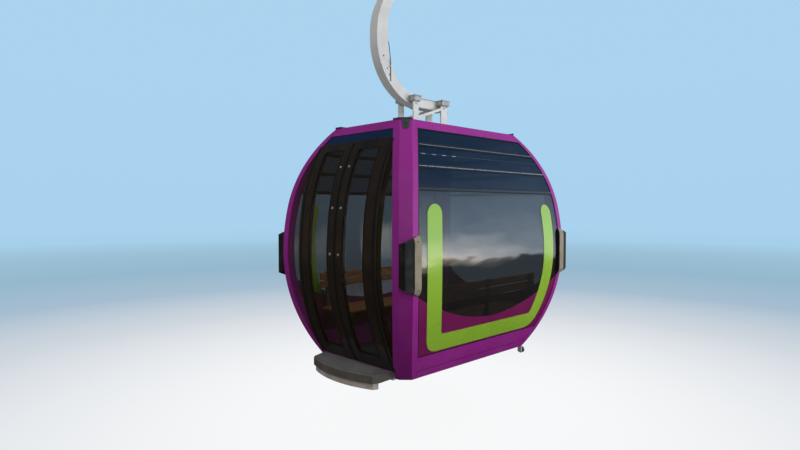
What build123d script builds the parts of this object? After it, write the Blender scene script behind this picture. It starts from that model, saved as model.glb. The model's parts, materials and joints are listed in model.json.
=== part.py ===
from build123d import *
import os
from math import asin, cos, radians, sin, sqrt, tan

# Gondola cabin with its hanger and rope grip, in millimetres.
# X runs along the rope, the doors face -Y and Z is up.
# Everything is laid out from the cabin's bottom edge, then lowered so that the rope's axis is the origin.

# Cabin body: every wall follows the same three tangent arcs
BODY_HEIGHT = 2200
BELT_HEIGHT = 1012          # widest level
SHOULDER_HEIGHT = 1500      # where the middle arc meets the upper one
HALF_LENGTH = 874           # at the belt, along the rope
EXTRA_WIDTH = 315           # how much further out the door and back walls stand
R_LOWER = 1889
R_MIDDLE = 3000
R_UPPER = 1428
CORNER_CUT = 76             # leg of the cut on each upright corner
WALL = 60                   # depth of posts, rails, floor edge and roof edge
ROPE_ABOVE_RIM = 1950

# Openings in the walls
POST_SIDE = 138             # post strip on the end walls
POST_DOOR = 150             # post strip on the door and back walls
RAIL_LOW = 219              # top of the bottom rails
DOOR_LOW = 70               # top of the rail under the doors
TOP_RAIL = 82               # height of the top rails
BAR_DROPS = (600, 415, 230)     # bars across the end and back windows, down from the rim
BAR_HEIGHT = 16
PANE_INSET = 5
PANE = 8
LINING_INSET = 16
LINING = 10
LINING_MIDDLE = 467         # lowest and end heights of the lining's curved edge
LINING_END = 740

# Doors
SIDE_PANE = 188             # from a jamb to the door wall's post, at the belt
DOOR_HEAD = 180             # from the rim down to the doorway's top
SEAM = 8                    # gap between the two leaves
LEAF_PLAY = 3               # gap between leaf and jamb
LEAF_LIFT = 6               # gap under the leaf
LEAF = 38
LEAF_STILE_SEAM = 96
LEAF_STILE_JAMB = 118
LEAF_RAIL_LOW = 110
LEAF_RAIL_HIGH = 60
JAMB = 36

# Floor and roof
FLOOR = 50
CEILING_DROP = 50           # from the rim down to the ceiling
ROOF_RISE = 34
ROOF_EDGE = 44              # rim left showing round the roof panel
ROOF_RUN = 270              # how far in from its edges the roof keeps rising
CAP_THICK = 14
CAP_TONGUE = 94
CAP_TONGUE_TOP = 74
CAP_TONGUE_FOOT = 50
CAP_FOOT_ROUND = 20
CAP_REACH_SIDE = 150        # along the door and back walls
CAP_REACH_END = 80
BEAM_WIDTH = 70
BEAM_DEPTH = 50
BEAM_PITCH = 330

# Sill in front of the doors
SILL_TOP = 68
SILL_RIM = 10               # how far the rim hangs below the body's edge
SILL_HEEL = 30              # height of its underside at the wall
SILL_BACK = 500
SILL_FRONT = 410
SILL_REACH_END = 218        # how far it stands out from the wall's foot
SILL_REACH_MIDDLE = 298
SILL_UNDER = 30             # how far it reaches under the wall
SILL_TURN = 0.6             # share of an inset that its front corners draw in by
SILL_EDGE = 12              # chamfer along the tread's front edge
SILL_SKIN = 8               # tread left over the hollow underside
LIP_DEPTH = 55
LIP_INSET = 16
LIP_WALL = 22
LIP_BACK = 155              # from the wall's foot to the lip's cut ends

# Corner bumpers
BUMPER_DROP = 10            # its middle below the belt
BUMPER_OUT = 13             # how far it stands out from the end wall
BUMPER_SIDE = 4             # how far it stands out from the door or back wall
BUMPER_SET = 29             # how far its rounded ends fall back
BUMPER_FLAT = 320           # height of its upright middle
BUMPER_HEIGHT = 480
BUMPER_TIP = 127            # where it is tallest, in from the door or back wall
BUMPER_TAIL_HEIGHT = 334    # at its edge on the door or back wall
BUMPER_HOLLOW = 8           # sag of the curve between the two heights
PLATE_START = 80            # edges of its light plate, in from the door or back wall
PLATE_END = 155
PLATE_DROP = 8              # from the bumper's upper and lower edges to the plate's
PLATE_THICK = 7

# Benches
SEAT_HEIGHT = 450
SLAT_THICK = 22
SLAT_EDGE = 4
SEAT_SLATS = 4
SEAT_SLAT_WIDTH = 84
SLAT_GAP = 12
BACK_SLAT_HEIGHT = 66
BACK_SLAT_FOOT = 640
BACK_SLATS = 2
BENCH_END = 237             # from the bench's ends to the door and back walls
BENCH_CLEAR = 5             # brackets clear of linings and rails
BACK_CLEAR = 10             # back rest clear of the posts' depth
BRACKET_THICK = 30
BRACKET_DEPTH = 40
BRACKET_BACK = 24
BRACKET_LEG = 60
BRACKET_END = 96            # outer brackets, in from the bench's ends

# Guide rollers under the back corners
GUIDE_IN = 374              # from the end wall at the belt to the roller's middle
GUIDE_DROP = 70
GUIDE_RADIUS = 33
GUIDE_WIDTH = 36
GUIDE_AXLE = 7
GUIDE_OUT = 10              # from the wall's foot to the bracket
GUIDE_PLATE = 8
GUIDE_FLANGE = 110
GUIDE_HALF = 23             # half width of the bracket
GUIDE_FOOT = 21             # bracket below the axle
GUIDE_NUT = 14
RUN = 0.08                  # running clearance round every axle
SIDE_GAP = 1.5              # play along an axle
COLLAR = 4                  # spacer that keeps a roller's face clear of its carrier
NUT = 6
NUT_RIM = 8

# Hanger
ARM_WIDTH = 100
ARM_OUTER = 730             # outer face of its upright part
ARM_THICK = 137
ARM_ABOVE_RIM = 225
ARM_DEPTH = 89
ARM_END = 20                # how far it runs past the far legs
R_BEND_OUTER = 570
R_BEND_INNER = 455
R_KNEE_OUTER = 620
R_KNEE_INNER = 520
ARM_LEAN = 28               # degrees from upright above the knee
ARM_MEETS = 0.85            # where its sides end below the pivot, as a share of the boss
ARM_CUT = 0.55              # where it is cut off inside the boss, likewise
LEG_X = 100
LEG_WIDTH = 14
LEG_PLACES = ((-280, 70), (125, 90))    # place across the cabin, width
FOOT_THICK = 14
FOOT_RIM = 26
HEAD_DEPTH = 45             # brackets on the arm's sides that rest on the legs
HEAD_RIM = 10
HEAD_REACH = 133            # out from the middle, along the rope
BRACE_LOW = 57              # above the foot
BRACE_DROP = 24             # below the leg's top
BRACE_DEPTH = 26
BRACE_THICK = 10
CONDUIT = 34
CONDUIT_FOOT = 10
STRAIGHT_SHARE = 0.05       # least straight stretch between the arm's bends

# Pivot between grip and hanger
PIVOT_DROP = 40
PIVOT_PIN = 25
BOSS_RADIUS = 85
BOSS_LENGTH = 117
BOSS_GAP = 3                # between the boss and what it swings beside
PIN_DEPTH = 70              # of the pivot pin in the casting
PIN_CAP = 44
PIN_CAP_THICK = 14

# Grip
ROPE_RADIUS = 25
JAW_HALF = 120
JAW_BLOCK_OUT = 162
JAW_BLOCK_TOP = 60
JAW_SLOPE = 16              # fall of its top towards the lip
JAW_LIP = 4                 # how far the fixed jaw reaches past the rope's axis
JAW_UNDER = 42
BLOCK_UNDER = 58            # casting below the pivot
BLOCK_SHELF = 30            # inner edge of the casting's top
BLOCK_SLOPE = (52, 80)      # where its underside's slope starts and ends
RELIEF_DROP = 14            # its ends are cut back from here down
RELIEF_RUN = 8              # past the start of the underside's slope
CASTING_ROUNDS = (14, 0, 0, 0, 10, 0, 12, 14)
BACKBONE_CLEAR = 11         # above the boss
BACKBONE_THICK = 30
BACKBONE_HALF = 62
BACKBONE_PAST = 10          # how far it runs past the boss
BAR_WIDTH = 46
EAR_HALF = 30
EAR_UNDER = 24              # below the axle
EAR_THICK = 22
EAR_ROUND = 22
LEVER_PIVOT_Y = -70
LEVER_PIVOT_Z = 125
LEVER_PIN = 14
LEVER_HALF = 34
LEVER_PLAY = 1
LEVER_TIP = 18              # half its depth at the outer end
LEVER_ROOT = 33             # half its depth at the pin
LEVER_HEEL = 40             # from the pin out to where it starts to rise
LEVER_BELLY = 48            # from the pin in to the throat
CHEEK_THICK = 20
CHEEK_FOOT = 40
CHEEK_HALF = 24
CHEEK_ROUND = 20
LEVER_PAST = 8              # how far it runs past the backbone
LEVER_ROUNDS = (16, 16, 40, 50, 14, 0, 0, 0, 0, 0, 20)
LEVER_END_Z = 176
JAW_REACH = 62
JAW_GAP = 14                # between the two jaws
JAW_TOE = 14                # lower edges of the lever's jaw
JAW_HEEL = 26
JAW_THROAT = 40
JAW_THROAT_IN = 6
LEVER_ROLLER = 34
ROLLER_X = 165
ROLLER_RADIUS = 52
ROLLER_WIDTH = 34
ROLLER_DROP = 64            # axle below the backbone's top
ROLLER_AXLE = 12
DRIVE_PLATE_Z = 214
DRIVE_PLATE_HALF = 240
DRIVE_PLATE_THICK = 16
DRIVE_PLATE_WIDTH = 120
DRIVE_PLATE_BACK = 6
DRIVE_PLATE_EDGE = 12       # chamfer where the plate's ends run up
PLATE_POST_X = 90
PLATE_POST = 22
SPRING_PLACES = (-178, -238)
SPRING_CUP = 24
SPRING_CUP_HEIGHT = 20
SPRING_ROD = 10
SEAT = 0.3                  # gap at which a piece lies on its seat

# Worked out from the sizes above
DOOR_HALF = HALF_LENGTH - POST_DOOR - SIDE_PANE - JAMB      # half width of the doorway
GUIDE_X = HALF_LENGTH - GUIDE_IN
FEET_HALF = LEG_X + LEG_WIDTH / 2 + FOOT_RIM                # reach of the hanger's feet along the rope
ROPE_Z = BODY_HEIGHT + ROPE_ABOVE_RIM
PIVOT_Z = ROPE_Z - PIVOT_DROP
RAIL_HIGH = BODY_HEIGHT - TOP_RAIL
DOOR_HIGH = BODY_HEIGHT - DOOR_HEAD
ARM_BOTTOM = BODY_HEIGHT + ARM_ABOVE_RIM
ARM_TOP = ARM_BOTTOM + ARM_DEPTH
ARM_INNER = ARM_OUTER - ARM_THICK
BOSS_IN = JAW_BLOCK_OUT + BOSS_GAP
BOSS_OUT = BOSS_IN + BOSS_LENGTH
BACKBONE_LOW = BOSS_RADIUS - PIVOT_DROP + BACKBONE_CLEAR
BACKBONE_HIGH = BACKBONE_LOW + BACKBONE_THICK
BACKBONE_OUT = BOSS_OUT + BACKBONE_PAST
CHEEK_IN = LEVER_HALF + LEVER_PLAY
CHEEK_OUT = CHEEK_IN + CHEEK_THICK
SHOULDER = asin((SHOULDER_HEIGHT - BELT_HEIGHT) / R_MIDDLE)
UPPER_OUT = HALF_LENGTH - R_MIDDLE + (R_MIDDLE - R_UPPER) * cos(SHOULDER)
UPPER_UP = BELT_HEIGHT + (R_MIDDLE - R_UPPER) * sin(SHOULDER)
HALF_WIDTH = HALF_LENGTH + EXTRA_WIDTH
REACH = 2 * HALF_WIDTH      # longer than the cabin, for cutting shapes

os.makedirs("parts", exist_ok=True)


def save(name, shape):
    """Lower a piece to the rope's frame and write it."""
    solids = [solid.moved(Location((0, 0, -ROPE_Z))) for solid in shape.solids()]
    whole = solids[0] if len(solids) == 1 else Compound(children=solids)
    export_step(whole, f"parts/{name}.step")


def save_many(name, shapes):
    """Write like pieces that don't touch as one node."""
    save(name, Compound(children=[solid for shape in shapes for solid in shape.solids()]))


def wall_arcs(inset):
    """Start, middle and end of the wall's three arcs, as (out, up)."""
    lower, middle, upper = R_LOWER - inset, R_MIDDLE - inset, R_UPPER - inset
    rows = (
        # centre out, centre up, radius, first angle, last angle
        (HALF_LENGTH - R_LOWER, BELT_HEIGHT, lower, -asin(BELT_HEIGHT / lower), 0),
        (HALF_LENGTH - R_MIDDLE, BELT_HEIGHT, middle, 0, SHOULDER),
        (UPPER_OUT, UPPER_UP, upper, SHOULDER, asin((BODY_HEIGHT - UPPER_UP) / upper)),
    )
    arcs = []
    for out, up, radius, first, last in rows:
        angles = (first, (first + last) / 2, last)
        arcs.append([(out + radius * cos(a), up + radius * sin(a)) for a in angles])
    return arcs


def half_length(height, inset=0):
    """How far out an end wall stands at a height."""
    if height < BELT_HEIGHT:
        out, up, radius = HALF_LENGTH - R_LOWER, BELT_HEIGHT, R_LOWER
    elif height < SHOULDER_HEIGHT:
        out, up, radius = HALF_LENGTH - R_MIDDLE, BELT_HEIGHT, R_MIDDLE
    else:
        out, up, radius = UPPER_OUT, UPPER_UP, R_UPPER
    return out + sqrt((radius - inset) ** 2 - (height - up) ** 2)


def half_width(height, inset=0):
    """How far out the door and back walls stand at a height."""
    return half_length(height, inset) + EXTRA_WIDTH


def wall_prism(extra, inset, turn, stretch=1.0):
    """A long prism between two facing walls; turn says which way the walls face."""
    right, left = [], []
    for start, middle, end in wall_arcs(inset):
        points = [(stretch * out + extra, 0, up) for out, up in (start, middle, end)]
        right.append(Edge.make_three_point_arc(*points))
        mirrored = [(-x, y, z) for x, y, z in reversed(points)]
        left.insert(0, Edge.make_three_point_arc(*mirrored))
    top = Edge.make_line(right[-1].position_at(1), left[0].position_at(0))
    bottom = Edge.make_line(left[-1].position_at(1), right[0].position_at(0))
    face = Face(Wire(right + [top] + left + [bottom]))
    prism = extrude(face, REACH, dir=(0, 1, 0), both=True)
    return prism.rotate(Axis.Z, turn)


def body_block(inset):
    """The cabin's outer form, drawn in by inset; its top and bottom stay at the same heights."""
    block = wall_prism(0, inset, 0) & wall_prism(EXTRA_WIDTH, inset, 90)
    cut = (EXTRA_WIDTH - CORNER_CUT) / sqrt(2) - inset
    for turn in (45, -45):
        block = block & wall_prism(cut, 0, turn, sqrt(2))
    return block


def slab(low, high, x=(-REACH, REACH), y=(-REACH, REACH)):
    """A plain box between two heights, for cutting."""
    return Pos((x[0] + x[1]) / 2, (y[0] + y[1]) / 2, (low + high) / 2) * Box(
        x[1] - x[0], y[1] - y[0], high - low)


# The field between each wall's posts, and the side of the cabin that holds the wall
END_FIELD = wall_prism(EXTRA_WIDTH - POST_SIDE, 0, 90)
DOOR_FIELD = wall_prism(-POST_DOOR, 0, 0)
WHOLE = (-REACH, REACH)
SIDES = {
    # wall: field, x range, y range
    "front": (END_FIELD, (0, REACH), WHOLE),
    "rear": (END_FIELD, (-REACH, 0), WHOLE),
    "door": (DOOR_FIELD, WHOLE, (-REACH, 0)),
    "back": (DOOR_FIELD, WHOLE, (0, REACH)),
}
BLOCKS = {}


def block_at(inset):
    """body_block, kept so that each inset is built once."""
    if inset not in BLOCKS:
        BLOCKS[inset] = body_block(inset)
    return BLOCKS[inset]


def wall_layer(side, outer, inner, low, high, x=None):
    """The part of a wall between two insets and two heights, inside its posts."""
    field, x_range, y_range = SIDES[side]
    band = slab(low, high, x or x_range, y_range)
    return (block_at(outer) - block_at(inner)) & field & band


def outline_face(points, radii):
    """A closed outline with rounded corners, as a face."""
    return Face(Wire(FilletPolyline(*points, radius=radii, close=True).edges()))


def yz_plate(points, radii, x_from, x_to):
    """An outline in the YZ plane with rounded corners, given thickness along X."""
    face = outline_face([(0, y, z) for y, z in points], radii)
    return Pos(x_from, 0, 0) * extrude(face, x_to - x_from, dir=(1, 0, 0))


def xz_plate(points, radii, y_from, y_to):
    """An outline in the XZ plane with rounded corners, given thickness along Y."""
    face = outline_face([(x, 0, z) for x, z in points], radii)
    return Pos(0, y_from, 0) * extrude(face, y_to - y_from, dir=(0, 1, 0))


def y_rod(radius, x, y_from, y_to, z, bore=0):
    """A round rod or ring along Y."""
    rod = Cylinder(radius, abs(y_to - y_from))
    if bore:
        rod = rod - Cylinder(bore, abs(y_to - y_from) + 2)
    return Pos(x, (y_from + y_to) / 2, z) * Rot(90, 0, 0) * rod


def y_nut(radius, x, y_from, y_to, z):
    """A hexagonal nut or spacer along Y."""
    nut = extrude(RegularPolygon(radius, 6), abs(y_to - y_from) / 2, both=True)
    return Pos(x, (y_from + y_to) / 2, z) * Rot(90, 0, 0) * nut


def x_rod(radius, x_from, x_to, y, z):
    """A round rod along X."""
    return Pos((x_from + x_to) / 2, y, z) * Rot(0, 90, 0) * Cylinder(radius, abs(x_to - x_from))


def four_corners(shape):
    """The shape at the front door corner, and at the three others by mirroring."""
    rear = mirror(shape, about=Plane.YZ)
    return [shape, rear, mirror(shape, about=Plane.XZ), mirror(rear, about=Plane.XZ)]


def make_posts():
    """Four corner posts, each a full-height curved profile round its corner."""
    ring = (block_at(0) - block_at(WALL)) - END_FIELD - DOOR_FIELD
    for solid in ring.solids():
        where = solid.center()
        end = "front" if where.X > 0 else "rear"
        wall = "door" if where.Y < 0 else "back"
        save(f"post_{end}_{wall}", solid)


def make_rails():
    """Rails between the posts, over and under the windows and doors."""
    top, bottom = [], []
    for side in SIDES:
        top.append(wall_layer(side, 0, WALL, RAIL_HIGH, BODY_HEIGHT))
        low = DOOR_LOW if side == "door" else RAIL_LOW
        bottom.append(wall_layer(side, 0, WALL, 0, low))
    save_many("top_rails", top)
    save_many("bottom_rails", bottom)


def lining_edge(side):
    """The block under the lining's curved upper edge."""
    half = HALF_WIDTH if side in ("front", "rear") else HALF_LENGTH
    arc = Edge.make_three_point_arc((-half, 0, LINING_END), (0, 0, LINING_MIDDLE), (half, 0, LINING_END))
    right = Edge.make_line((half, 0, LINING_END), (half, 0, 0))
    low = Edge.make_line((half, 0, 0), (-half, 0, 0))
    left = Edge.make_line((-half, 0, 0), (-half, 0, LINING_END))
    block = extrude(Face(Wire([arc, right, low, left])), REACH, dir=(0, 1, 0), both=True)
    return block.rotate(Axis.Z, 90) if side in ("front", "rear") else block


def make_windows():
    """Panes, bars and linings of the end walls and the back wall."""
    middles = [BODY_HEIGHT - drop for drop in BAR_DROPS]
    feet = [RAIL_LOW] + [level + BAR_HEIGHT / 2 for level in middles]
    heads = [level - BAR_HEIGHT / 2 for level in middles] + [RAIL_HIGH]
    bars, linings = [], []
    for side in ("front", "rear", "back"):
        for bar_low, bar_high in zip(heads, feet[1:]):
            bars.append(wall_layer(side, 0, LINING_INSET + LINING, bar_low, bar_high))
        spans = zip(feet, heads)
        panes = [wall_layer(side, PANE_INSET, PANE_INSET + PANE, low, high) for low, high in spans]
        save_many(f"window_{side}", panes)
        lining = wall_layer(side, LINING_INSET, LINING_INSET + LINING, RAIL_LOW, LINING_END)
        linings.append(lining & lining_edge(side))
    save_many("window_bars", bars)
    save_many("linings", linings)


def make_doors():
    """Two curved leaves with their glass, the glass over and beside them, and the jambs."""
    leaf_low, leaf_high = DOOR_LOW + LEAF_LIFT, DOOR_HIGH
    glass_low, glass_high = leaf_low + LEAF_RAIL_LOW, leaf_high - LEAF_RAIL_HIGH
    glasses = []
    for name, sign in (("left", -1), ("right", 1)):
        near, far = SEAM / 2, DOOR_HALF - LEAF_PLAY
        span = sorted((sign * near, sign * far))
        hole = sorted((sign * (near + LEAF_STILE_SEAM), sign * (far - LEAF_STILE_JAMB)))
        leaf = wall_layer("door", 0, LEAF, leaf_low, leaf_high, span)
        save(f"door_leaf_{name}", leaf - slab(glass_low, glass_high, hole, (-REACH, 0)))
        glasses.append(wall_layer("door", PANE_INSET, PANE_INSET + PANE, glass_low, glass_high, hole))
    save_many("door_glass", glasses)
    frame = wall_layer("door", 0, WALL, DOOR_HIGH, DOOR_HIGH + BAR_HEIGHT)
    panes = [wall_layer("door", PANE_INSET, PANE_INSET + PANE, DOOR_HIGH + BAR_HEIGHT, RAIL_HIGH)]
    for sign in (-1, 1):
        jamb = sorted((sign * DOOR_HALF, sign * (DOOR_HALF + JAMB)))
        pane = sorted((sign * (DOOR_HALF + JAMB), sign * REACH))
        frame = frame + wall_layer("door", 0, WALL, DOOR_LOW, DOOR_HIGH, jamb)
        panes.append(wall_layer("door", PANE_INSET, PANE_INSET + PANE, DOOR_LOW, DOOR_HIGH, pane))
    save("door_frame", frame)
    save_many("door_wall_panes", panes)


def corner_outline(half_x, half_y, cut):
    """A rectangle with its corners cut, as a face."""
    points = []
    for x, y in ((1, -1), (1, 1), (-1, 1), (-1, -1)):
        along, across = (x * (half_x - cut), y * half_y), (x * half_x, y * (half_y - cut))
        points += [along, across] if x * y < 0 else [across, along]
    return Polygon(*points, align=None).face()


def make_roof():
    """The roof with its ceiling, and a cap over each corner of the rim."""
    half_x, half_y = half_length(BODY_HEIGHT), half_width(BODY_HEIGHT)
    edge_x, edge_y, peak = half_x - ROOF_EDGE, half_y - ROOF_EDGE, BODY_HEIGHT + ROOF_RISE
    run = min(ROOF_RUN, edge_x - FEET_HALF)
    outline = corner_outline(edge_x, edge_y, CORNER_CUT)
    top = extrude(Pos(0, 0, BODY_HEIGHT) * outline, ROOF_RISE, dir=(0, 0, 1))
    for plate, edge in ((xz_plate, edge_x), (yz_plate, edge_y)):
        slopes = [(-edge, BODY_HEIGHT), (edge, BODY_HEIGHT), (edge - run, peak), (run - edge, peak)]
        top = top & plate(slopes, 0, *WHOLE)
    roof = top + (block_at(WALL) & slab(BODY_HEIGHT - CEILING_DROP, BODY_HEIGHT))
    save("roof_panel", roof)

    edge = CAP_THICK / 2
    rim = Pos(0, 0, BODY_HEIGHT) * corner_outline(half_x + edge, half_y + edge, CORNER_CUT)
    plate = extrude(rim, CAP_THICK, dir=(0, 0, 1)) - roof
    corner = (half_x - CAP_REACH_SIDE, REACH), (-REACH, CAP_REACH_END - half_y)
    plate = plate & slab(0, BODY_HEIGHT * 2, *corner)
    foot, tip = BODY_HEIGHT - CAP_TONGUE, CAP_TONGUE_FOOT / 2
    shape = [(-CAP_TONGUE_TOP / 2, BODY_HEIGHT), (CAP_TONGUE_TOP / 2, BODY_HEIGHT), (tip, foot), (-tip, foot)]
    wedge = xz_plate(shape, (0, 0, CAP_FOOT_ROUND, CAP_FOOT_ROUND), -REACH, 0).rotate(Axis.Z, 45)
    shift = (half_x - half_y) / 2
    wedge = Pos(shift, shift, 0) * wedge
    tongue = (block_at(-edge) - block_at(0)) & wedge & slab(0, BODY_HEIGHT)
    save_many("roof_corner_caps", four_corners(plate + tongue))


def make_floor():
    """The floor and the beams under it."""
    save("floor", block_at(WALL) & slab(0, FLOOR))
    half = half_width(0) - WALL
    beam = Pos(0, 0, -BEAM_DEPTH / 2) * Box(BEAM_WIDTH, 2 * half, BEAM_DEPTH)
    save_many("floor_beams", [Pos(x, 0, 0) * beam for x in (-BEAM_PITCH, 0, BEAM_PITCH)])


def sill_outline(inset):
    """The sill's plan with its bowed front, drawn in by inset."""
    foot = half_width(0)
    back_y = SILL_UNDER - foot
    back, front = SILL_BACK - inset, SILL_FRONT - inset * SILL_TURN
    corner_y, middle_y = inset - foot - SILL_REACH_END, inset - foot - SILL_REACH_MIDDLE
    bow = Edge.make_three_point_arc((-front, corner_y, 0), (0, middle_y, 0), (front, corner_y, 0))
    right = Edge.make_line((front, corner_y, 0), (back, back_y, 0))
    rear = Edge.make_line((back, back_y, 0), (-back, back_y, 0))
    left = Edge.make_line((-back, back_y, 0), (-front, corner_y, 0))
    return Face(Wire([bow, right, rear, left]))


def make_sill():
    """The step under the doors: a bowed tread with its rim, and a lip below."""
    tread = extrude(Pos(0, 0, -SILL_RIM) * sill_outline(0), SILL_RIM + SILL_TOP, dir=(0, 0, 1))
    front = tread.edges().filter_by(GeomType.CIRCLE).group_by(Axis.Z)[-1]
    tread = chamfer(front, SILL_EDGE)
    hollow = Pos(0, 0, -SILL_RIM) * sill_outline(LIP_INSET + LIP_WALL)
    hollow = extrude(hollow, SILL_RIM + SILL_TOP - SILL_EDGE - SILL_SKIN, dir=(0, 0, 1))
    foot = half_width(0)
    heel = SILL_UNDER - foot
    behind = slab(-REACH, REACH, y=(heel - 2 * LIP_WALL, REACH))
    under = yz_plate([(-foot - LIP_BACK, -SILL_RIM), (heel, SILL_HEEL), (heel, -SILL_RIM)], 0, *WHOLE)
    save("door_sill", tread - (hollow - behind) - under - block_at(0))
    lip_low = -SILL_RIM - LIP_DEPTH
    lip = extrude(Pos(0, 0, lip_low) * sill_outline(LIP_INSET), LIP_DEPTH, dir=(0, 0, 1))
    inside = extrude(Pos(0, 0, lip_low) * sill_outline(LIP_INSET + LIP_WALL), LIP_DEPTH, dir=(0, 0, 1))
    save("sill_lip", lip - inside - slab(-REACH, REACH, y=(-foot - LIP_BACK, REACH)))


def bumper_nose(out):
    """The bumper from the side: upright in the middle, with rounded ends."""
    back, nose = HALF_LENGTH - CORNER_CUT, HALF_LENGTH + out
    end, flat, half = nose - BUMPER_SET, BUMPER_FLAT / 2, BUMPER_HEIGHT / 2
    edges = [Edge.make_line((nose, 0, -flat), (nose, 0, flat)),
             Edge.make_tangent_arc((nose, 0, flat), (0, 0, 1), (end, 0, half)),
             Edge.make_line((end, 0, half), (back, 0, half)),
             Edge.make_line((back, 0, half), (back, 0, -half)),
             Edge.make_line((back, 0, -half), (end, 0, -half)),
             Edge.make_tangent_arc((nose, 0, -flat), (0, 0, -1), (end, 0, -half))]
    return extrude(Face(Wire(edges)), REACH, dir=(0, 1, 0), both=True)


def bumper_sweep(drop):
    """The bumper square to the cut corner: its hollow upper and lower edges close in on its tail."""
    tail = (HALF_LENGTH - CORNER_CUT - HALF_WIDTH) / sqrt(2)
    tip = (HALF_LENGTH - HALF_WIDTH + BUMPER_TIP) / sqrt(2)
    half, tail_half = BUMPER_HEIGHT / 2 - drop, BUMPER_TAIL_HEIGHT / 2 - drop
    middle, sag = (tail + tip) / 2, (half + tail_half) / 2 - BUMPER_HOLLOW
    far = tip + REACH
    edges = [Edge.make_line((tail, 0, -tail_half), (tail, 0, tail_half)),
             Edge.make_three_point_arc((tail, 0, tail_half), (middle, 0, sag), (tip, 0, half)),
             Edge.make_line((tip, 0, half), (far, 0, half)),
             Edge.make_line((far, 0, half), (far, 0, -half)),
             Edge.make_line((far, 0, -half), (tip, 0, -half)),
             Edge.make_three_point_arc((tip, 0, -half), (middle, 0, -sag), (tail, 0, -tail_half))]
    return extrude(Face(Wire(edges)), REACH, dir=(0, 1, 0), both=True).rotate(Axis.Z, 45)


def make_bumpers():
    """A bumper that fills each cut corner at the belt, with a light plate on its end face."""
    tail, side, nose = HALF_LENGTH - CORNER_CUT, HALF_WIDTH + BUMPER_SIDE, HALF_LENGTH + BUMPER_OUT
    plate_start, plate_end = PLATE_START - HALF_WIDTH, PLATE_END - HALF_WIDTH
    points = [(tail, -side), (HALF_LENGTH, -side), (nose, plate_start), (nose, plate_end), (tail, plate_end)]
    block = extrude(Polygon(*points, align=None).face(), BUMPER_HEIGHT, dir=(0, 0, 1), both=True)
    level = Pos(0, 0, BELT_HEIGHT - BUMPER_DROP)
    body = level * (block & bumper_nose(BUMPER_OUT) & bumper_sweep(0)) - block_at(0)
    save_many("corner_bumpers", four_corners(body))
    skin = (bumper_nose(BUMPER_OUT + PLATE_THICK) - bumper_nose(BUMPER_OUT)) & bumper_sweep(PLATE_DROP)
    plate = skin & slab(-BUMPER_HEIGHT, BUMPER_HEIGHT, (tail, REACH), (plate_start, plate_end))
    save_many("bumper_plates", four_corners(level * plate - block_at(0)))


def make_benches():
    """A slatted bench along each end wall, on brackets that stand on the floor."""
    seat_low = SEAT_HEIGHT - SLAT_THICK
    bearer_low = seat_low - BRACKET_DEPTH
    seat_back = half_length(bearer_low, LINING_INSET + LINING) - BENCH_CLEAR - BRACKET_BACK
    seat_front = seat_back - SEAT_SLATS * (SEAT_SLAT_WIDTH + SLAT_GAP)
    rest_x = half_length(BACK_SLAT_FOOT, WALL) - BACK_CLEAR - BRACKET_BACK
    half = half_width(seat_low, WALL) - BENCH_END
    slats = []
    for number in range(SEAT_SLATS):
        x = seat_front + SEAT_SLAT_WIDTH / 2 + number * (SEAT_SLAT_WIDTH + SLAT_GAP)
        slats.append(Pos(x, 0, seat_low + SLAT_THICK / 2) * Box(SEAT_SLAT_WIDTH, 2 * half, SLAT_THICK))
    for number in range(BACK_SLATS):
        z = BACK_SLAT_FOOT + BACK_SLAT_HEIGHT / 2 + number * (BACK_SLAT_HEIGHT + SLAT_GAP)
        slats.append(Pos(rest_x - SLAT_THICK / 2, 0, z) * Box(SLAT_THICK, 2 * half, BACK_SLAT_HEIGHT))
    slats = [chamfer(slat.edges().filter_by(Axis.Y), SLAT_EDGE) for slat in slats]

    rest_high = BACK_SLAT_FOOT + BACK_SLATS * (BACK_SLAT_HEIGHT + SLAT_GAP)
    leg_out = half_length(FLOOR, WALL) - BENCH_CLEAR
    leg_in = leg_out - BRACKET_LEG
    front = seat_front + SLAT_GAP
    rest_back = rest_x + BRACKET_BACK
    points = [(front, bearer_low), (front, seat_low), (seat_back, seat_low),
              (rest_x, BACK_SLAT_FOOT), (rest_x, rest_high), (rest_back, rest_high),
              (rest_back, BACK_SLAT_FOOT), (seat_back + BRACKET_BACK, bearer_low),
              (leg_out, bearer_low), (leg_out, FLOOR), (leg_in, FLOOR), (leg_in, bearer_low)]
    end = half - BRACKET_END
    brackets = [xz_plate(points, 0, y - BRACKET_THICK / 2, y + BRACKET_THICK / 2) for y in (-end, 0, end)]
    for name, pieces in (("bench_slats", slats), ("bench_brackets", brackets)):
        save_many(f"{name}_front", pieces)
        save_many(f"{name}_rear", [mirror(piece, about=Plane.YZ) for piece in pieces])


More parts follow.
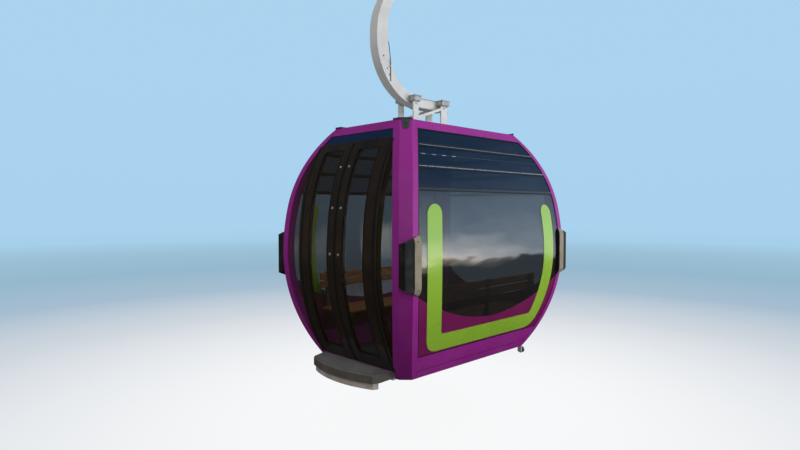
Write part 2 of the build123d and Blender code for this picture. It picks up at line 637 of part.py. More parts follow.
def make_guide_rollers():
    """A small roller on a bracket under each back corner."""
    plate_in = half_width(0) + GUIDE_OUT
    plate_out = plate_in + GUIDE_PLATE
    collar_y = plate_out + COLLAR
    roller_y = (collar_y + SIDE_GAP, collar_y + SIDE_GAP + GUIDE_WIDTH)
    nut_y = roller_y[1] + SIDE_GAP
    foot, flange = -GUIDE_DROP - GUIDE_FOOT, plate_in - GUIDE_FLANGE
    points = [(flange, 0), (flange, -GUIDE_PLATE), (plate_in, -GUIDE_PLATE),
              (plate_in, foot), (plate_out, foot), (plate_out, 0)]
    bracket = yz_plate(points, 0, -GUIDE_HALF, GUIDE_HALF)
    bracket = bracket + y_rod(GUIDE_AXLE, 0, plate_in, nut_y + NUT, -GUIDE_DROP)
    bracket = bracket + y_nut(GUIDE_NUT, 0, nut_y, nut_y + NUT, -GUIDE_DROP)
    bracket = bracket + y_nut(GUIDE_NUT, 0, plate_out, collar_y, -GUIDE_DROP)
    save_many("roller_brackets", [Pos(GUIDE_X, 0, 0) * bracket, Pos(-GUIDE_X, 0, 0) * bracket])
    roller = y_rod(GUIDE_RADIUS, 0, *roller_y, -GUIDE_DROP, GUIDE_AXLE + RUN)
    save("guide_roller_front", Pos(GUIDE_X, 0, 0) * roller)
    save("guide_roller_rear", Pos(-GUIDE_X, 0, 0) * roller)


def bend_radii(run, bend, knee):
    """The arm's lower and upper bend radii, drawn in together where its upright run is short."""
    turn = tan(radians(ARM_LEAN / 2))
    share = min(1, (1 - STRAIGHT_SHARE) * run / (bend + knee * turn))
    return share * bend, share * knee, share * knee * turn


def make_hanger():
    """The bent arm, its frame on the roof and the conduit on the arm's inner side."""
    lean = tan(radians(ARM_LEAN))
    arm_top = PIVOT_Z - ARM_MEETS * BOSS_RADIUS
    knee_outer = arm_top - (ARM_OUTER - BOSS_OUT) / lean
    knee_inner = arm_top - (ARM_INNER - BOSS_IN) / lean
    bend_outer, round_outer, _ = bend_radii(knee_outer - ARM_BOTTOM, R_BEND_OUTER, R_KNEE_OUTER)
    bend_inner, round_inner, knee_reach = bend_radii(knee_inner - ARM_TOP, R_BEND_INNER, R_KNEE_INNER)
    (near_y, near_width), (far_y, far_width) = LEG_PLACES
    end = far_y + far_width / 2 + ARM_END
    points = [(end, ARM_BOTTOM), (-ARM_OUTER, ARM_BOTTOM), (-ARM_OUTER, knee_outer), (-BOSS_OUT, arm_top),
              (-BOSS_OUT, PIVOT_Z), (-BOSS_IN, PIVOT_Z), (-BOSS_IN, arm_top), (-ARM_INNER, knee_inner),
              (-ARM_INNER, ARM_TOP), (end, ARM_TOP)]
    radii = (0, bend_outer, round_outer, 0, 0, 0, 0, round_inner, bend_inner, 0)
    arm = yz_plate(points, radii, -ARM_WIDTH / 2, ARM_WIDTH / 2)
    boss = y_rod(BOSS_RADIUS, 0, -BOSS_OUT, -BOSS_IN, PIVOT_Z)
    bore = y_rod(PIVOT_PIN + RUN, 0, -BOSS_OUT - 1, -BOSS_IN + 1, PIVOT_Z)
    above = slab(PIVOT_Z - ARM_CUT * BOSS_RADIUS, PIVOT_Z + 1)
    save("hanger_arm", (arm - above) + boss - bore)

    low, high = ARM_TOP + bend_inner, knee_inner - knee_reach
    conduit = [(-ARM_INNER, low), (-ARM_INNER, high),
               (CONDUIT - ARM_INNER, high), (CONDUIT_FOOT - ARM_INNER, low)]
    save("arm_conduit", yz_plate(conduit, 0, -CONDUIT / 2, CONDUIT / 2))

    foot_low = BODY_HEIGHT + ROOF_RISE
    foot_high, leg_top = foot_low + FOOT_THICK, ARM_TOP - HEAD_DEPTH
    low_y, high_y = near_y + near_width / 2, far_y - far_width / 2
    low_z, high_z = foot_high + BRACE_LOW, leg_top - BRACE_DROP
    brace = [(low_y, low_z), (low_y, low_z + BRACE_DEPTH), (high_y, high_z), (high_y, high_z - BRACE_DEPTH)]
    sides, heads = [], []
    for x in (-LEG_X, LEG_X):
        side = yz_plate(brace, 0, x - BRACE_THICK / 2, x + BRACE_THICK / 2)
        leg_span = (x - LEG_WIDTH / 2, x + LEG_WIDTH / 2)
        foot_span = (leg_span[0] - FOOT_RIM, leg_span[1] + FOOT_RIM)
        head_span = sorted((x / LEG_X * ARM_WIDTH / 2, x / LEG_X * HEAD_REACH))
        for y, width in LEG_PLACES:
            half = width / 2
            side = side + slab(foot_high, leg_top, leg_span, (y - half, y + half))
            side = side + slab(foot_low, foot_high, foot_span, (y - half - FOOT_RIM, y + half + FOOT_RIM))
            heads.append(slab(leg_top, ARM_TOP, head_span, (y - half - HEAD_RIM, y + half + HEAD_RIM)))
        sides.append(side)
    save_many("hanger_legs", sides)
    save_many("hanger_heads", heads)


def make_casting():
    """The grip's casting: the fixed jaw with its groove, the pivot pin's bore and the lever's cheeks."""
    low, top = -PIVOT_DROP - BLOCK_UNDER, BACKBONE_HIGH
    slope_start, slope_end = BLOCK_SLOPE
    points = [(-JAW_BLOCK_OUT, low), (-JAW_BLOCK_OUT, top), (-BLOCK_SHELF, top),
              (-BLOCK_SHELF, JAW_BLOCK_TOP),
              (JAW_LIP, JAW_BLOCK_TOP - JAW_SLOPE), (JAW_LIP, -JAW_UNDER),
              (-slope_start, -JAW_UNDER), (-slope_end, low)]
    casting = yz_plate(points, CASTING_ROUNDS, -JAW_HALF, JAW_HALF)
    relief_end = -slope_start - RELIEF_RUN
    points = [(-JAW_BLOCK_OUT, low), (-JAW_BLOCK_OUT, top - RELIEF_DROP),
              (relief_end, -JAW_UNDER), (relief_end, low)]
    relief = yz_plate(points, 0, -JAW_HALF, JAW_HALF)
    casting = casting - (relief - slab(-REACH, REACH, (-BOSS_RADIUS, BOSS_RADIUS)))
    for sign in (-1, 1):
        span = sorted((sign * CHEEK_IN, sign * CHEEK_OUT))
        cheek = [(LEVER_PIVOT_Y - CHEEK_FOOT, top), (LEVER_PIVOT_Y - CHEEK_HALF, LEVER_PIVOT_Z + CHEEK_HALF),
                 (LEVER_PIVOT_Y + CHEEK_HALF, LEVER_PIVOT_Z + CHEEK_HALF), (LEVER_PIVOT_Y + CHEEK_FOOT, top)]
        casting = casting + yz_plate(cheek, (0, CHEEK_ROUND, CHEEK_ROUND, 0), *span)
    casting = casting - x_rod(ROPE_RADIUS, -JAW_HALF, JAW_HALF, 0, 0)
    casting = casting - x_rod(LEVER_PIN, -CHEEK_OUT, CHEEK_OUT, LEVER_PIVOT_Y, LEVER_PIVOT_Z)
    return casting - y_rod(PIVOT_PIN, 0, -JAW_BLOCK_OUT, PIN_DEPTH - JAW_BLOCK_OUT, -PIVOT_DROP)


def make_beam(axle_z):
    """The beam behind the jaw: backbone, cross bar, spring cups and the running rollers' ears and axles."""
    top = BACKBONE_HIGH
    beam = slab(BACKBONE_LOW, top, (-BACKBONE_HALF, BACKBONE_HALF), (-BACKBONE_OUT, -JAW_BLOCK_OUT))
    beam = beam + slab(BACKBONE_LOW, top, (-ROLLER_X - EAR_HALF, ROLLER_X + EAR_HALF),
                       (-BACKBONE_OUT, BAR_WIDTH - BACKBONE_OUT))
    nut_y = -BACKBONE_OUT - COLLAR - ROLLER_WIDTH - 2 * SIDE_GAP
    for x in (-ROLLER_X, ROLLER_X):
        ear_low = axle_z - EAR_UNDER
        ear = [(x - EAR_HALF, top), (x - EAR_HALF, ear_low), (x + EAR_HALF, ear_low), (x + EAR_HALF, top)]
        beam = beam + xz_plate(ear, (0, EAR_ROUND, EAR_ROUND, 0), -BACKBONE_OUT, EAR_THICK - BACKBONE_OUT)
        beam = beam + y_rod(ROLLER_AXLE, x, nut_y - NUT, -BACKBONE_OUT, axle_z)
        beam = beam + y_nut(ROLLER_AXLE + NUT_RIM, x, nut_y - NUT, nut_y, axle_z)
        beam = beam + y_nut(ROLLER_AXLE + NUT_RIM, x, -BACKBONE_OUT - COLLAR, -BACKBONE_OUT, axle_z)
    for y in SPRING_PLACES:
        beam = beam + Pos(0, y, top + SPRING_CUP_HEIGHT / 2) * Cylinder(SPRING_CUP, SPRING_CUP_HEIGHT)
    return beam


def make_lever(collar_y, nut_y):
    """The sprung jaw lever, with the stub axle of its roller."""
    end, jaw_in = -BACKBONE_OUT - LEVER_PAST, JAW_LIP + JAW_GAP
    points = [(end, LEVER_END_Z - LEVER_TIP), (end, LEVER_END_Z + LEVER_TIP),
              (LEVER_PIVOT_Y, LEVER_PIVOT_Z + LEVER_ROOT), (JAW_REACH, LEVER_PIVOT_Z),
              (JAW_REACH, -JAW_TOE), (jaw_in, -JAW_HEEL), (jaw_in, JAW_THROAT),
              (JAW_THROAT_IN, JAW_THROAT + 2 * JAW_GAP),
              (LEVER_PIVOT_Y + LEVER_BELLY, LEVER_PIVOT_Z - LEVER_ROOT),
              (LEVER_PIVOT_Y, LEVER_PIVOT_Z - LEVER_ROOT),
              (LEVER_PIVOT_Y - LEVER_HEEL, LEVER_PIVOT_Z)]
    lever = yz_plate(points, LEVER_ROUNDS, -LEVER_HALF, LEVER_HALF)
    lever = lever - x_rod(ROPE_RADIUS, -LEVER_HALF, LEVER_HALF, 0, 0)
    lever = lever - x_rod(LEVER_PIN + RUN, -LEVER_HALF, LEVER_HALF, LEVER_PIVOT_Y, LEVER_PIVOT_Z)
    lever = lever + y_rod(ROLLER_AXLE, 0, nut_y - NUT, end, LEVER_END_Z)
    lever = lever + y_nut(ROLLER_AXLE + NUT_RIM, 0, collar_y, end, LEVER_END_Z)
    return lever + y_nut(ROLLER_AXLE + NUT_RIM, 0, nut_y - NUT, nut_y, LEVER_END_Z)


def make_grip():
    """The grip: casting, beam, sprung jaw lever, pins, rollers, spring rods and drive plate."""
    lift = Pos(0, 0, ROPE_Z)
    axle_z = BACKBONE_HIGH - ROLLER_DROP
    save("grip_casting", lift * make_casting())
    save("grip_beam", lift * make_beam(axle_z))

    cap_y = -BOSS_OUT - BOSS_GAP
    pin = y_rod(PIVOT_PIN, 0, cap_y - PIN_CAP_THICK, PIN_DEPTH - JAW_BLOCK_OUT, -PIVOT_DROP)
    save("pivot_pin", lift * (pin + y_nut(PIN_CAP, 0, cap_y - PIN_CAP_THICK, cap_y, -PIVOT_DROP)))
    reach = CHEEK_OUT + NUT
    save("lever_pin", lift * x_rod(LEVER_PIN, -reach, reach, LEVER_PIVOT_Y, LEVER_PIVOT_Z))

    collar_y = -BACKBONE_OUT - LEVER_PAST - COLLAR
    nut_y = collar_y - ROLLER_WIDTH - 2 * SIDE_GAP
    save("jaw_lever", lift * make_lever(collar_y, nut_y))
    save("lever_roller", lift * y_rod(LEVER_ROLLER, 0, nut_y + SIDE_GAP, collar_y - SIDE_GAP, LEVER_END_Z,
                                      ROLLER_AXLE + RUN))
    near = -BACKBONE_OUT - COLLAR - SIDE_GAP
    for name, x in (("front", ROLLER_X), ("rear", -ROLLER_X)):
        wheel = y_rod(ROLLER_RADIUS, x, near - ROLLER_WIDTH, near, axle_z, ROLLER_AXLE + RUN)
        save(f"running_roller_{name}", lift * wheel)

    back = DRIVE_PLATE_BACK - BACKBONE_OUT
    plate = slab(DRIVE_PLATE_Z, DRIVE_PLATE_Z + DRIVE_PLATE_THICK, (-DRIVE_PLATE_HALF, DRIVE_PLATE_HALF),
                 (back, back + DRIVE_PLATE_WIDTH))
    plate = chamfer(plate.edges().filter_by(Axis.Y).group_by(Axis.Z)[-1], DRIVE_PLATE_EDGE)
    for x in (-PLATE_POST_X, PLATE_POST_X):
        plate = plate + slab(BACKBONE_HIGH, DRIVE_PLATE_Z, (x - PLATE_POST / 2, x + PLATE_POST / 2),
                             (back, BAR_WIDTH - BACKBONE_OUT))
    save("drive_plate", lift * plate)

    rods = []
    low, under_y = BACKBONE_HIGH + SPRING_CUP_HEIGHT, LEVER_PIVOT_Y - LEVER_HEEL
    slope = (LEVER_END_Z - LEVER_TIP - LEVER_PIVOT_Z) / (under_y + BACKBONE_OUT + LEVER_PAST)
    for y in SPRING_PLACES:
        high = LEVER_PIVOT_Z + slope * (under_y - y - SPRING_ROD) - SEAT
        rods.append(lift * Pos(0, y, (low + high) / 2) * Cylinder(SPRING_ROD, high - low))
    save_many("spring_rods", rods)


make_posts()
make_rails()
make_windows()
make_doors()
make_roof()
make_floor()
make_sill()
make_bumpers()
make_benches()
make_guide_rollers()
make_hanger()
make_grip()
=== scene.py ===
import json
from math import asin, cos, dist, pi, radians, sin, sqrt, tau

import bmesh
import bpy
from mathutils import Matrix, Vector

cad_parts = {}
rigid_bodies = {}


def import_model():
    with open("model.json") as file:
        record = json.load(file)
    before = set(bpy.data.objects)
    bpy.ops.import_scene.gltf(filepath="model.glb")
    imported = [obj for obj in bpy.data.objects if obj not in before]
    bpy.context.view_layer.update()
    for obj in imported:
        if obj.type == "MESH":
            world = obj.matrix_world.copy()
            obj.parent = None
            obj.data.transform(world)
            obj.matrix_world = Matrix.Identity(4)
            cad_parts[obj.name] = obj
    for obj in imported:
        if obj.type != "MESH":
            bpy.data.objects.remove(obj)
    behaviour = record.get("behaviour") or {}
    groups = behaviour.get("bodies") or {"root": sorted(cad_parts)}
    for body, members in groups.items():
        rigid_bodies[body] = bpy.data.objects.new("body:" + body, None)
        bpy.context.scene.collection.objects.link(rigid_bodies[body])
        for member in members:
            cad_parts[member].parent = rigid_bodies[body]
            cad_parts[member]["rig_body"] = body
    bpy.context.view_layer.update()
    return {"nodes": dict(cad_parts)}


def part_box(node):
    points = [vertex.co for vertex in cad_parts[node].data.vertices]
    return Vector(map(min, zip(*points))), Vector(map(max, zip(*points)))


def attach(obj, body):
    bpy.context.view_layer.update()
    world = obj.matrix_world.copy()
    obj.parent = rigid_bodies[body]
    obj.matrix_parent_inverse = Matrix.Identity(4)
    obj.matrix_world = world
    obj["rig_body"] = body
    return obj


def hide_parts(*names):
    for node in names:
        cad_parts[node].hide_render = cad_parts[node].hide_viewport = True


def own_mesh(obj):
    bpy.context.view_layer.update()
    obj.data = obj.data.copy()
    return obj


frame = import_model()
NODES = frame["nodes"]
ENDS = ("front", "rear")
BOTH = (-1, 1)
CORNERS = [(x, y) for x in BOTH for y in BOTH]

# The cabin's walls, in metres; heights are counted from the body's lower edge
BODY_DROP = 4.150
BELT, SHOULDER_HEIGHT, BODY_HEIGHT = 1.012, 1.500, 2.200
HALF_LENGTH, EXTRA = 0.874, 0.315
R_LOWER, R_MIDDLE, R_UPPER = 1.889, 3.000, 1.428
SHOULDER = asin((SHOULDER_HEIGHT - BELT) / R_MIDDLE)
UPPER_OUT = HALF_LENGTH - R_MIDDLE + (R_MIDDLE - R_UPPER) * cos(SHOULDER)
UPPER_UP = BELT + (R_MIDDLE - R_UPPER) * sin(SHOULDER)
POST_SIDE, POST_DOOR = 0.138, 0.150
RAIL_LOW, RAIL_HIGH, DOOR_LOW, DOOR_HIGH = 0.219, 2.118, 0.070, 2.020
BARS, BAR = (1.600, 1.785, 1.970), 0.016
GLASS_OUT, GLASS_THICK = -0.005, 0.008
LEAF_SEAM, LEAF_EDGE, DOOR_HALF, JAMB = 0.004, 0.497, 0.500, 0.036


def reach(height, out=0.0):
    """How far out an end wall stands at a height."""
    if height < BELT:
        centre, up, radius = HALF_LENGTH - R_LOWER, BELT, R_LOWER
    elif height < SHOULDER_HEIGHT:
        centre, up, radius = HALF_LENGTH - R_MIDDLE, BELT, R_MIDDLE
    else:
        centre, up, radius = UPPER_OUT, UPPER_UP, R_UPPER
    return centre + sqrt((radius + out) ** 2 - (height - up) ** 2)


def on_wall(side, along, height, out=0.0):
    """A point on a wall, or out from it."""
    far = reach(height, out)
    z = height - BODY_DROP
    if side in ENDS:
        return Vector((far if side == "front" else -far, along, z))
    return Vector((along, far + EXTRA if side == "back" else -far - EXTRA, z))


def wall_normal(side, height):
    """The direction that a wall faces at a height."""
    step = 0.005
    out = on_wall(side, 0, height, 2 * step) - on_wall(side, 0, height)
    rise = (on_wall(side, 0, height + step) - on_wall(side, 0, height - step)).normalized()
    return (out - rise * out.dot(rise)).normalized()


def field_edge(side, height):
    """Half the width between a wall's posts at a height."""
    if side in ENDS:
        return reach(height) + EXTRA - POST_SIDE
    return reach(height) - POST_DOOR


def edges_of(side):
    """Both side lines of a wall's field, as functions of the height."""
    return (lambda h: -field_edge(side, h)), (lambda h: field_edge(side, h))


# Materials

def feed(tree, inputs, values):
    """Link or set inputs by name or number; a colour gets its alpha."""
    for key, value in values.items():
        if isinstance(value, bpy.types.NodeSocket):
            tree.links.new(value, inputs[key])
        elif inputs[key].type == "RGBA":
            inputs[key].default_value = (*value, 1)
        else:
            inputs[key].default_value = value


def node(tree, kind, values=None, **fields):
    """A shader node with its fields set and its inputs fed."""
    made = tree.nodes.new("ShaderNode" + kind)
    for key, value in fields.items():
        setattr(made, key, value)
    feed(tree, made.inputs, values or {})
    return made


def maths(tree, kind, operation, *values):
    """The result of a maths node on sockets and plain values."""
    return node(tree, kind, dict(enumerate(values)), operation=operation).outputs["Value"]


def noise_at(tree, coords, scale, detail, stretch=None):
    """Noise at some coordinates."""
    if stretch:
        coords = node(tree, "Mapping", {"Vector": coords, "Scale": stretch}).outputs["Vector"]
    return node(tree, "TexNoise", {"Vector": coords, "Scale": scale, "Detail": detail}).outputs["Fac"]


def remap(tree, value, low, high, start=0.3, end=0.7):
    """A value spread from start..end to low..high."""
    values = {"Value": value, "From Min": start, "From Max": end, "To Min": low, "To Max": high}
    return node(tree, "MapRange", values).outputs["Result"]


def blend_colours(tree, share, first, second, blend="MIX"):
    """A mix of two colours, each a socket or plain."""
    return node(tree, "Mix", {"Factor": share, "A": first, "B": second}, data_type="RGBA",
                blend_type=blend).outputs["Result"]


def mix_shaders(tree, share, first, second):
    """One shader over another."""
    return node(tree, "MixShader", {0: share, 1: first, 2: second}).outputs["Shader"]


def relief(tree, height, strength, depth):
    """Fine relief as a surface's normal."""
    return node(tree, "Bump", {"Height": height, "Strength": strength, "Distance": depth}).outputs["Normal"]


def new_material(name):
    """A node material: itself, its tree, its shader's inputs and its object coordinates."""
    made = bpy.data.materials.new(name)
    made.use_nodes = True
    tree = made.node_tree
    return made, tree, tree.nodes["Principled BSDF"].inputs, node(tree, "TexCoord").outputs["Object"]


BLOTCH_DETAIL, GRIME_AND_SHEEN_DETAIL, PATCH_DETAIL, GRAIN_DETAIL = 4.0, 6.0, 5.0, 2.0
GRAIN_DEPTH, COAT_ROUGHNESS, SMOOTHEST = 0.001, 0.04, 0.02
GRIME_AND_SHEEN_RANGE = (0.48, 0.72)  # of the noise that spreads the patches: grime, and painted sheen on the door frames
WEAR_MOST, WEAR_RANGE = 0.75, (0.80, 0.985)  # by how far an edge turns from its face
PATCH_SCALE, PATCH_RANGE = 30, (0.42, 0.62)  # of the noise that breaks the wear up


def material(name, colour, rough, vary, scale, grain, metal=0.0, coat=0.0, alpha=1.0, ior=1.5, stretch=None,
             dirt=None, wear=None, rough_spread=0.06):
    """A procedural finish: blotches, roughness, grain in relief, patches of grime (painted sheen on the door
    frames) and worn edges.
    """
    made, tree, inputs, coords = new_material(name)
    blotch = noise_at(tree, coords, scale, BLOTCH_DETAIL, stretch)
    darker = [c * (1 - vary) for c in colour]
    lighter = [min(1.0, c * (1 + vary)) for c in colour]
    shade = blend_colours(tree, remap(tree, blotch, 0, 1), darker, lighter)
    # Patches in a second colour: grime on most finishes, painted sheen on the door frames
    if dirt:
        colour_of_dirt, amount, dirt_scale = dirt
        patches = remap(tree, noise_at(tree, coords, dirt_scale, GRIME_AND_SHEEN_DETAIL), 0, amount, *GRIME_AND_SHEEN_RANGE)
        shade = blend_colours(tree, patches, shade, colour_of_dirt)
    if wear:
        colour_of_wear, radius = wear
        bevel = node(tree, "Bevel", {"Radius": radius}, samples=4).outputs["Normal"]
        flat = maths(tree, "VectorMath", "DOT_PRODUCT", bevel, node(tree, "NewGeometry").outputs["Normal"])
        patches = remap(tree, noise_at(tree, coords, PATCH_SCALE, PATCH_DETAIL), 0, 1, *PATCH_RANGE)
        rubbed = maths(tree, "Math", "MULTIPLY", remap(tree, flat, WEAR_MOST, 0, *WEAR_RANGE), patches)
        shade = blend_colours(tree, rubbed, shade, colour_of_wear)
    if grain[1]:
        fine = noise_at(tree, coords, grain[0], GRAIN_DETAIL, stretch)
        feed(tree, inputs, {"Normal": relief(tree, fine, grain[1], GRAIN_DEPTH)})
    rougher = remap(tree, blotch, max(SMOOTHEST, rough - rough_spread), min(1.0, rough + rough_spread))
    feed(tree, inputs, {"Base Color": shade, "Roughness": rougher, "Metallic": metal, "Coat Weight": coat,
                        "Coat Roughness": COAT_ROUGHNESS, "IOR": ior, "Alpha": alpha})
    return made


def wood(name, light, dark):
    """Oiled wood with its grain along Y: streaks, boards and fibres."""
    made, tree, inputs, coords = new_material(name)
    streaks = noise_at(tree, coords, 9.0, 6.0, (9.0, 0.9, 9.0))
    fibres = noise_at(tree, coords, 60.0, 3.0, (12.0, 0.6, 12.0))
    boards = noise_at(tree, coords, 3.0, 1.0, (3.5, 0.05, 3.5))
    shade = blend_colours(tree, remap(tree, streaks, 0, 1, 0.35, 0.65), dark, light)
    shade = blend_colours(tree, remap(tree, boards, 0, 0.45), shade, [0.75 * c for c in dark])
    shade = blend_colours(tree, remap(tree, fibres, 0, 0.35, 0.5, 0.75), shade, [0.5 * c for c in dark])
    feed(tree, inputs, {"Base Color": shade, "Roughness": remap(tree, fibres, 0.32, 0.5),
                        "Normal": relief(tree, fibres, 0.25, 0.0006)})
    return made


DUST = (0.30, 0.27, 0.25)
CLEAR = dict(grain=(60, 0.004), rough_spread=0.01)
MAT, SLOT_OF = {}, {}


def define(name, slot, *look, **more):
    """Make a finish and note its slot.

    Its look: colour, roughness, spread of the colour, scale of the blotches, grain (scale, strength), patches
    (colour, amount, scale: grime, and painted sheen on the door frames) and wear (colour, width of the edge).
    """
    MAT[name] = material(name, *look, **more)
    SLOT_OF[name] = slot


define("livery", "livery_paint", (0.255, 0.015, 0.222), 0.36, 0.07, 1.6, (900, 0.03), coat=0.06, ior=1.38,
       dirt=(DUST, 0.04, 5))
define("livery_dark", "livery_paint", (0.060, 0.005, 0.055), 0.40, 0.10, 3.0, (900, 0.03))
define("stripe", "livery_paint", (0.222, 0.405, 0.028), 0.30, 0.06, 2.2, (700, 0.01), coat=0.8)
define("film", "linings", (0.135, 0.0066, 0.070), 0.30, 0.10, 1.8, (700, 0.015), coat=0.25)
define("glass", "window_glass", (0.004, 0.005, 0.006), 0.03, 0.10, 1.2, alpha=0.66, ior=2.35, **CLEAR)
define("back_glass", "window_glass", (0.004, 0.005, 0.006), 0.03, 0.10, 1.2, alpha=0.40, ior=1.8, **CLEAR)
define("vent_glass", "window_glass", (0.0045, 0.014, 0.034), 0.04, 0.12, 1.6, alpha=0.84, ior=1.45, **CLEAR)
define("door_glass", "door_glass", (0.028, 0.020, 0.010), 0.03, 0.10, 1.2, alpha=0.26, ior=1.55, **CLEAR)
define("header_glass", "door_glass", (0.005, 0.020, 0.065), 0.05, 0.12, 1.5, alpha=0.85, ior=1.6, **CLEAR)
# Painted sheen: lighter patches in the frames' own brown, twice as bright
define("door_frames", "door_frames", (0.013, 0.0085, 0.0055), 0.24, 0.35, 3.0, (500, 0.02), coat=0.6,
       dirt=((0.026, 0.017, 0.010), 0.6, 7))
define("bars", "window_bars", (0.008, 0.014, 0.026), 0.28, 0.12, 3.0, (500, 0.02), coat=0.5)
define("linings", "linings", (0.095, 0.009, 0.060), 0.45, 0.12, 2.0, (800, 0.10))
define("dark_plastic", "grey_plastic", (0.0125, 0.013, 0.013), 0.58, 0.16, 6.0, (900, 0.25), ior=1.3,
       dirt=(DUST, 0.06, 14), wear=((0.12, 0.115, 0.11), 0.004))
define("cap_plastic", "grey_plastic", (0.040, 0.044, 0.052), 0.45, 0.12, 6.0, (900, 0.20),
       dirt=(DUST, 0.08, 10), wear=((0.14, 0.14, 0.15), 0.003))
define("beige", "beige_plastic", (0.225, 0.195, 0.140), 0.50, 0.14, 5.0, (900, 0.22),
       dirt=((0.07, 0.06, 0.045), 0.45, 11), wear=((0.42, 0.38, 0.30), 0.004))
define("lip", "beige_plastic", (0.46, 0.41, 0.37), 0.55, 0.10, 5.0, (900, 0.22),
       dirt=((0.12, 0.10, 0.08), 0.4, 9))
define("tread", "grey_plastic", (0.115, 0.111, 0.110), 0.62, 0.16, 9.0, (1200, 0.35),
       dirt=((0.17, 0.155, 0.14), 0.30, 12), wear=((0.20, 0.19, 0.18), 0.003))
# The ribs: the tread's grey made lighter, a painted highlight along the ridges
define("ribs", "grey_plastic", (0.165, 0.160, 0.157), 0.60, 0.16, 9.0, (1200, 0.25))
define("sill_rim", "grey_plastic", (0.100, 0.086, 0.074), 0.58, 0.16, 9.0, (1200, 0.30),
       dirt=((0.14, 0.12, 0.10), 0.30, 12))
define("roof", "roof_paint", (0.42, 0.43, 0.45), 0.42, 0.06, 2.0, (700, 0.06), dirt=(DUST, 0.35, 3))
define("floor_mat", "floor_board", (0.045, 0.046, 0.050), 0.7, 0.15, 8.0, (1100, 0.4), dirt=(DUST, 0.3, 6))
define("galvanised", "galvanised", (0.575, 0.588, 0.585), 0.50, 0.05, 7.0, (300, 0.02), metal=0.10,
       dirt=((0.40, 0.38, 0.37), 0.25, 6), wear=((0.78, 0.78, 0.79), 0.003))
define("galvanised_dark", "galvanised", (0.42, 0.42, 0.415), 0.50, 0.12, 20.0, (500, 0.10), metal=0.3,
       dirt=((0.15, 0.14, 0.13), 0.35, 14), wear=((0.55, 0.55, 0.55), 0.002))
define("bench_frame", "bench_frame", (0.075, 0.076, 0.080), 0.45, 0.10, 6.0, (700, 0.10))
define("grip_paint", "grip_paint", (0.26, 0.28, 0.30), 0.38, 0.10, 9.0, (420, 0.35),
       dirt=((0.05, 0.045, 0.04), 0.6, 16), wear=((0.45, 0.44, 0.43), 0.003))
define("pin_steel", "pin_steel", (0.52, 0.52, 0.53), 0.26, 0.08, 30.0, (600, 0.05), metal=1.0,
       stretch=(6, 1, 6), rough_spread=0.08)
define("zinc", "pin_steel", (0.48, 0.48, 0.47), 0.36, 0.14, 60.0, (900, 0.10), metal=0.9)
define("dark_steel", "pin_steel", (0.060, 0.058, 0.056), 0.42, 0.18, 40.0, (900, 0.12), metal=0.7)
define("wheel", "wheel_plastic", (0.028, 0.028, 0.030), 0.50, 0.12, 14.0, (900, 0.16), dirt=(DUST, 0.18, 20))
define("hub", "pin_steel", (0.40, 0.40, 0.39), 0.36, 0.12, 40.0, (900, 0.10), metal=0.8,
       dirt=((0.08, 0.07, 0.06), 0.5, 30))
define("rubber", "black_plastic", (0.010, 0.010, 0.011), 0.60, 0.15, 20.0, (900, 0.16))
# Light bluish metal: the catches on the vents, and the light lines along the vent bars, which are painted
# highlight
define("trim_and_highlight", "galvanised", (0.46, 0.52, 0.58), 0.30, 0.10, 20.0, (700, 0.05), metal=0.6)
# A dim copy of it: a faint painted highlight line across the vent glass
define("faint_highlight", "galvanised", (0.10, 0.13, 0.17), 0.35, 0.12, 20.0, (700, 0.05), metal=0.4)
define("spring", "grip_paint", (0.30, 0.06, 0.03), 0.35, 0.14, 30.0, (600, 0.10), coat=0.3)
define("lamp", "beige_plastic", (0.80, 0.80, 0.76), 0.35, 0.03, 8.0, (600, 0.05))
MAT["wood"], SLOT_OF["wood"] = wood("wood", (0.42, 0.205, 0.080), (0.22, 0.090, 0.030)), "bench_wood"

POSTS = ("post_front_door", "post_front_back", "post_rear_door", "post_rear_back")
NODE_FINISH = {
    "livery": (*POSTS, "top_rails", "bottom_rails"),
    "glass": ("window_front", "window_rear", "window_back"),
    "bars": ("window_bars",), "linings": ("linings",),
    "door_frames": ("door_leaf_left", "door_leaf_right", "door_frame"),
    "door_glass": ("door_glass", "door_wall_panes"),
    "roof": ("roof_panel",), "cap_plastic": ("roof_corner_caps",), "dark_plastic": ("corner_bumpers",),
    "floor_mat": ("floor",), "tread": ("door_sill",), "lip": ("sill_lip",), "beige": ("bumper_plates",),
    "wood": ("bench_slats_front", "bench_slats_rear"),
    "bench_frame": ("bench_brackets_front", "bench_brackets_rear"),
    "galvanised": ("floor_beams", "roller_brackets", "hanger_arm", "hanger_legs"),
    "galvanised_dark": ("hanger_heads",),
    "wheel": ("guide_roller_front", "guide_roller_rear", "lever_roller", "running_roller_front",
              "running_roller_rear", "arm_conduit", "drive_plate"),
    "grip_paint": ("grip_casting", "grip_beam", "jaw_lever"),
    "pin_steel": ("pivot_pin", "lever_pin", "spring_rods"),
}
FINISH_OF = {name: finish for finish, names in NODE_FINISH.items() for name in names}
for name, finish in FINISH_OF.items():
    slots = NODES[name].data.materials
    if not slots:
        slots.append(MAT[finish])
    for number in range(len(slots)):
        slots[number] = MAT[finish]


# Pieces

SMOOTH_BELOW, HARD_ABOVE, SAME_PLANE = radians(35), radians(28), radians(0.6)
SAME_POINT, SAME_CAD_POINT = 1e-6, 2e-5
UP, DOWN, DOORWARD = (0, 0, 1), (0, 0, -1), (0, -1, 0)


def place(name, data):
    """A new object in the scene."""
    made = bpy.data.objects.new(name, data)
    bpy.context.scene.collection.objects.link(made)
    return made


def mesh_from(name, bm):
    """The mesh that has been under construction."""
    mesh = bpy.data.meshes.new(name)
    bm.to_mesh(mesh)
    bm.free()
    return mesh


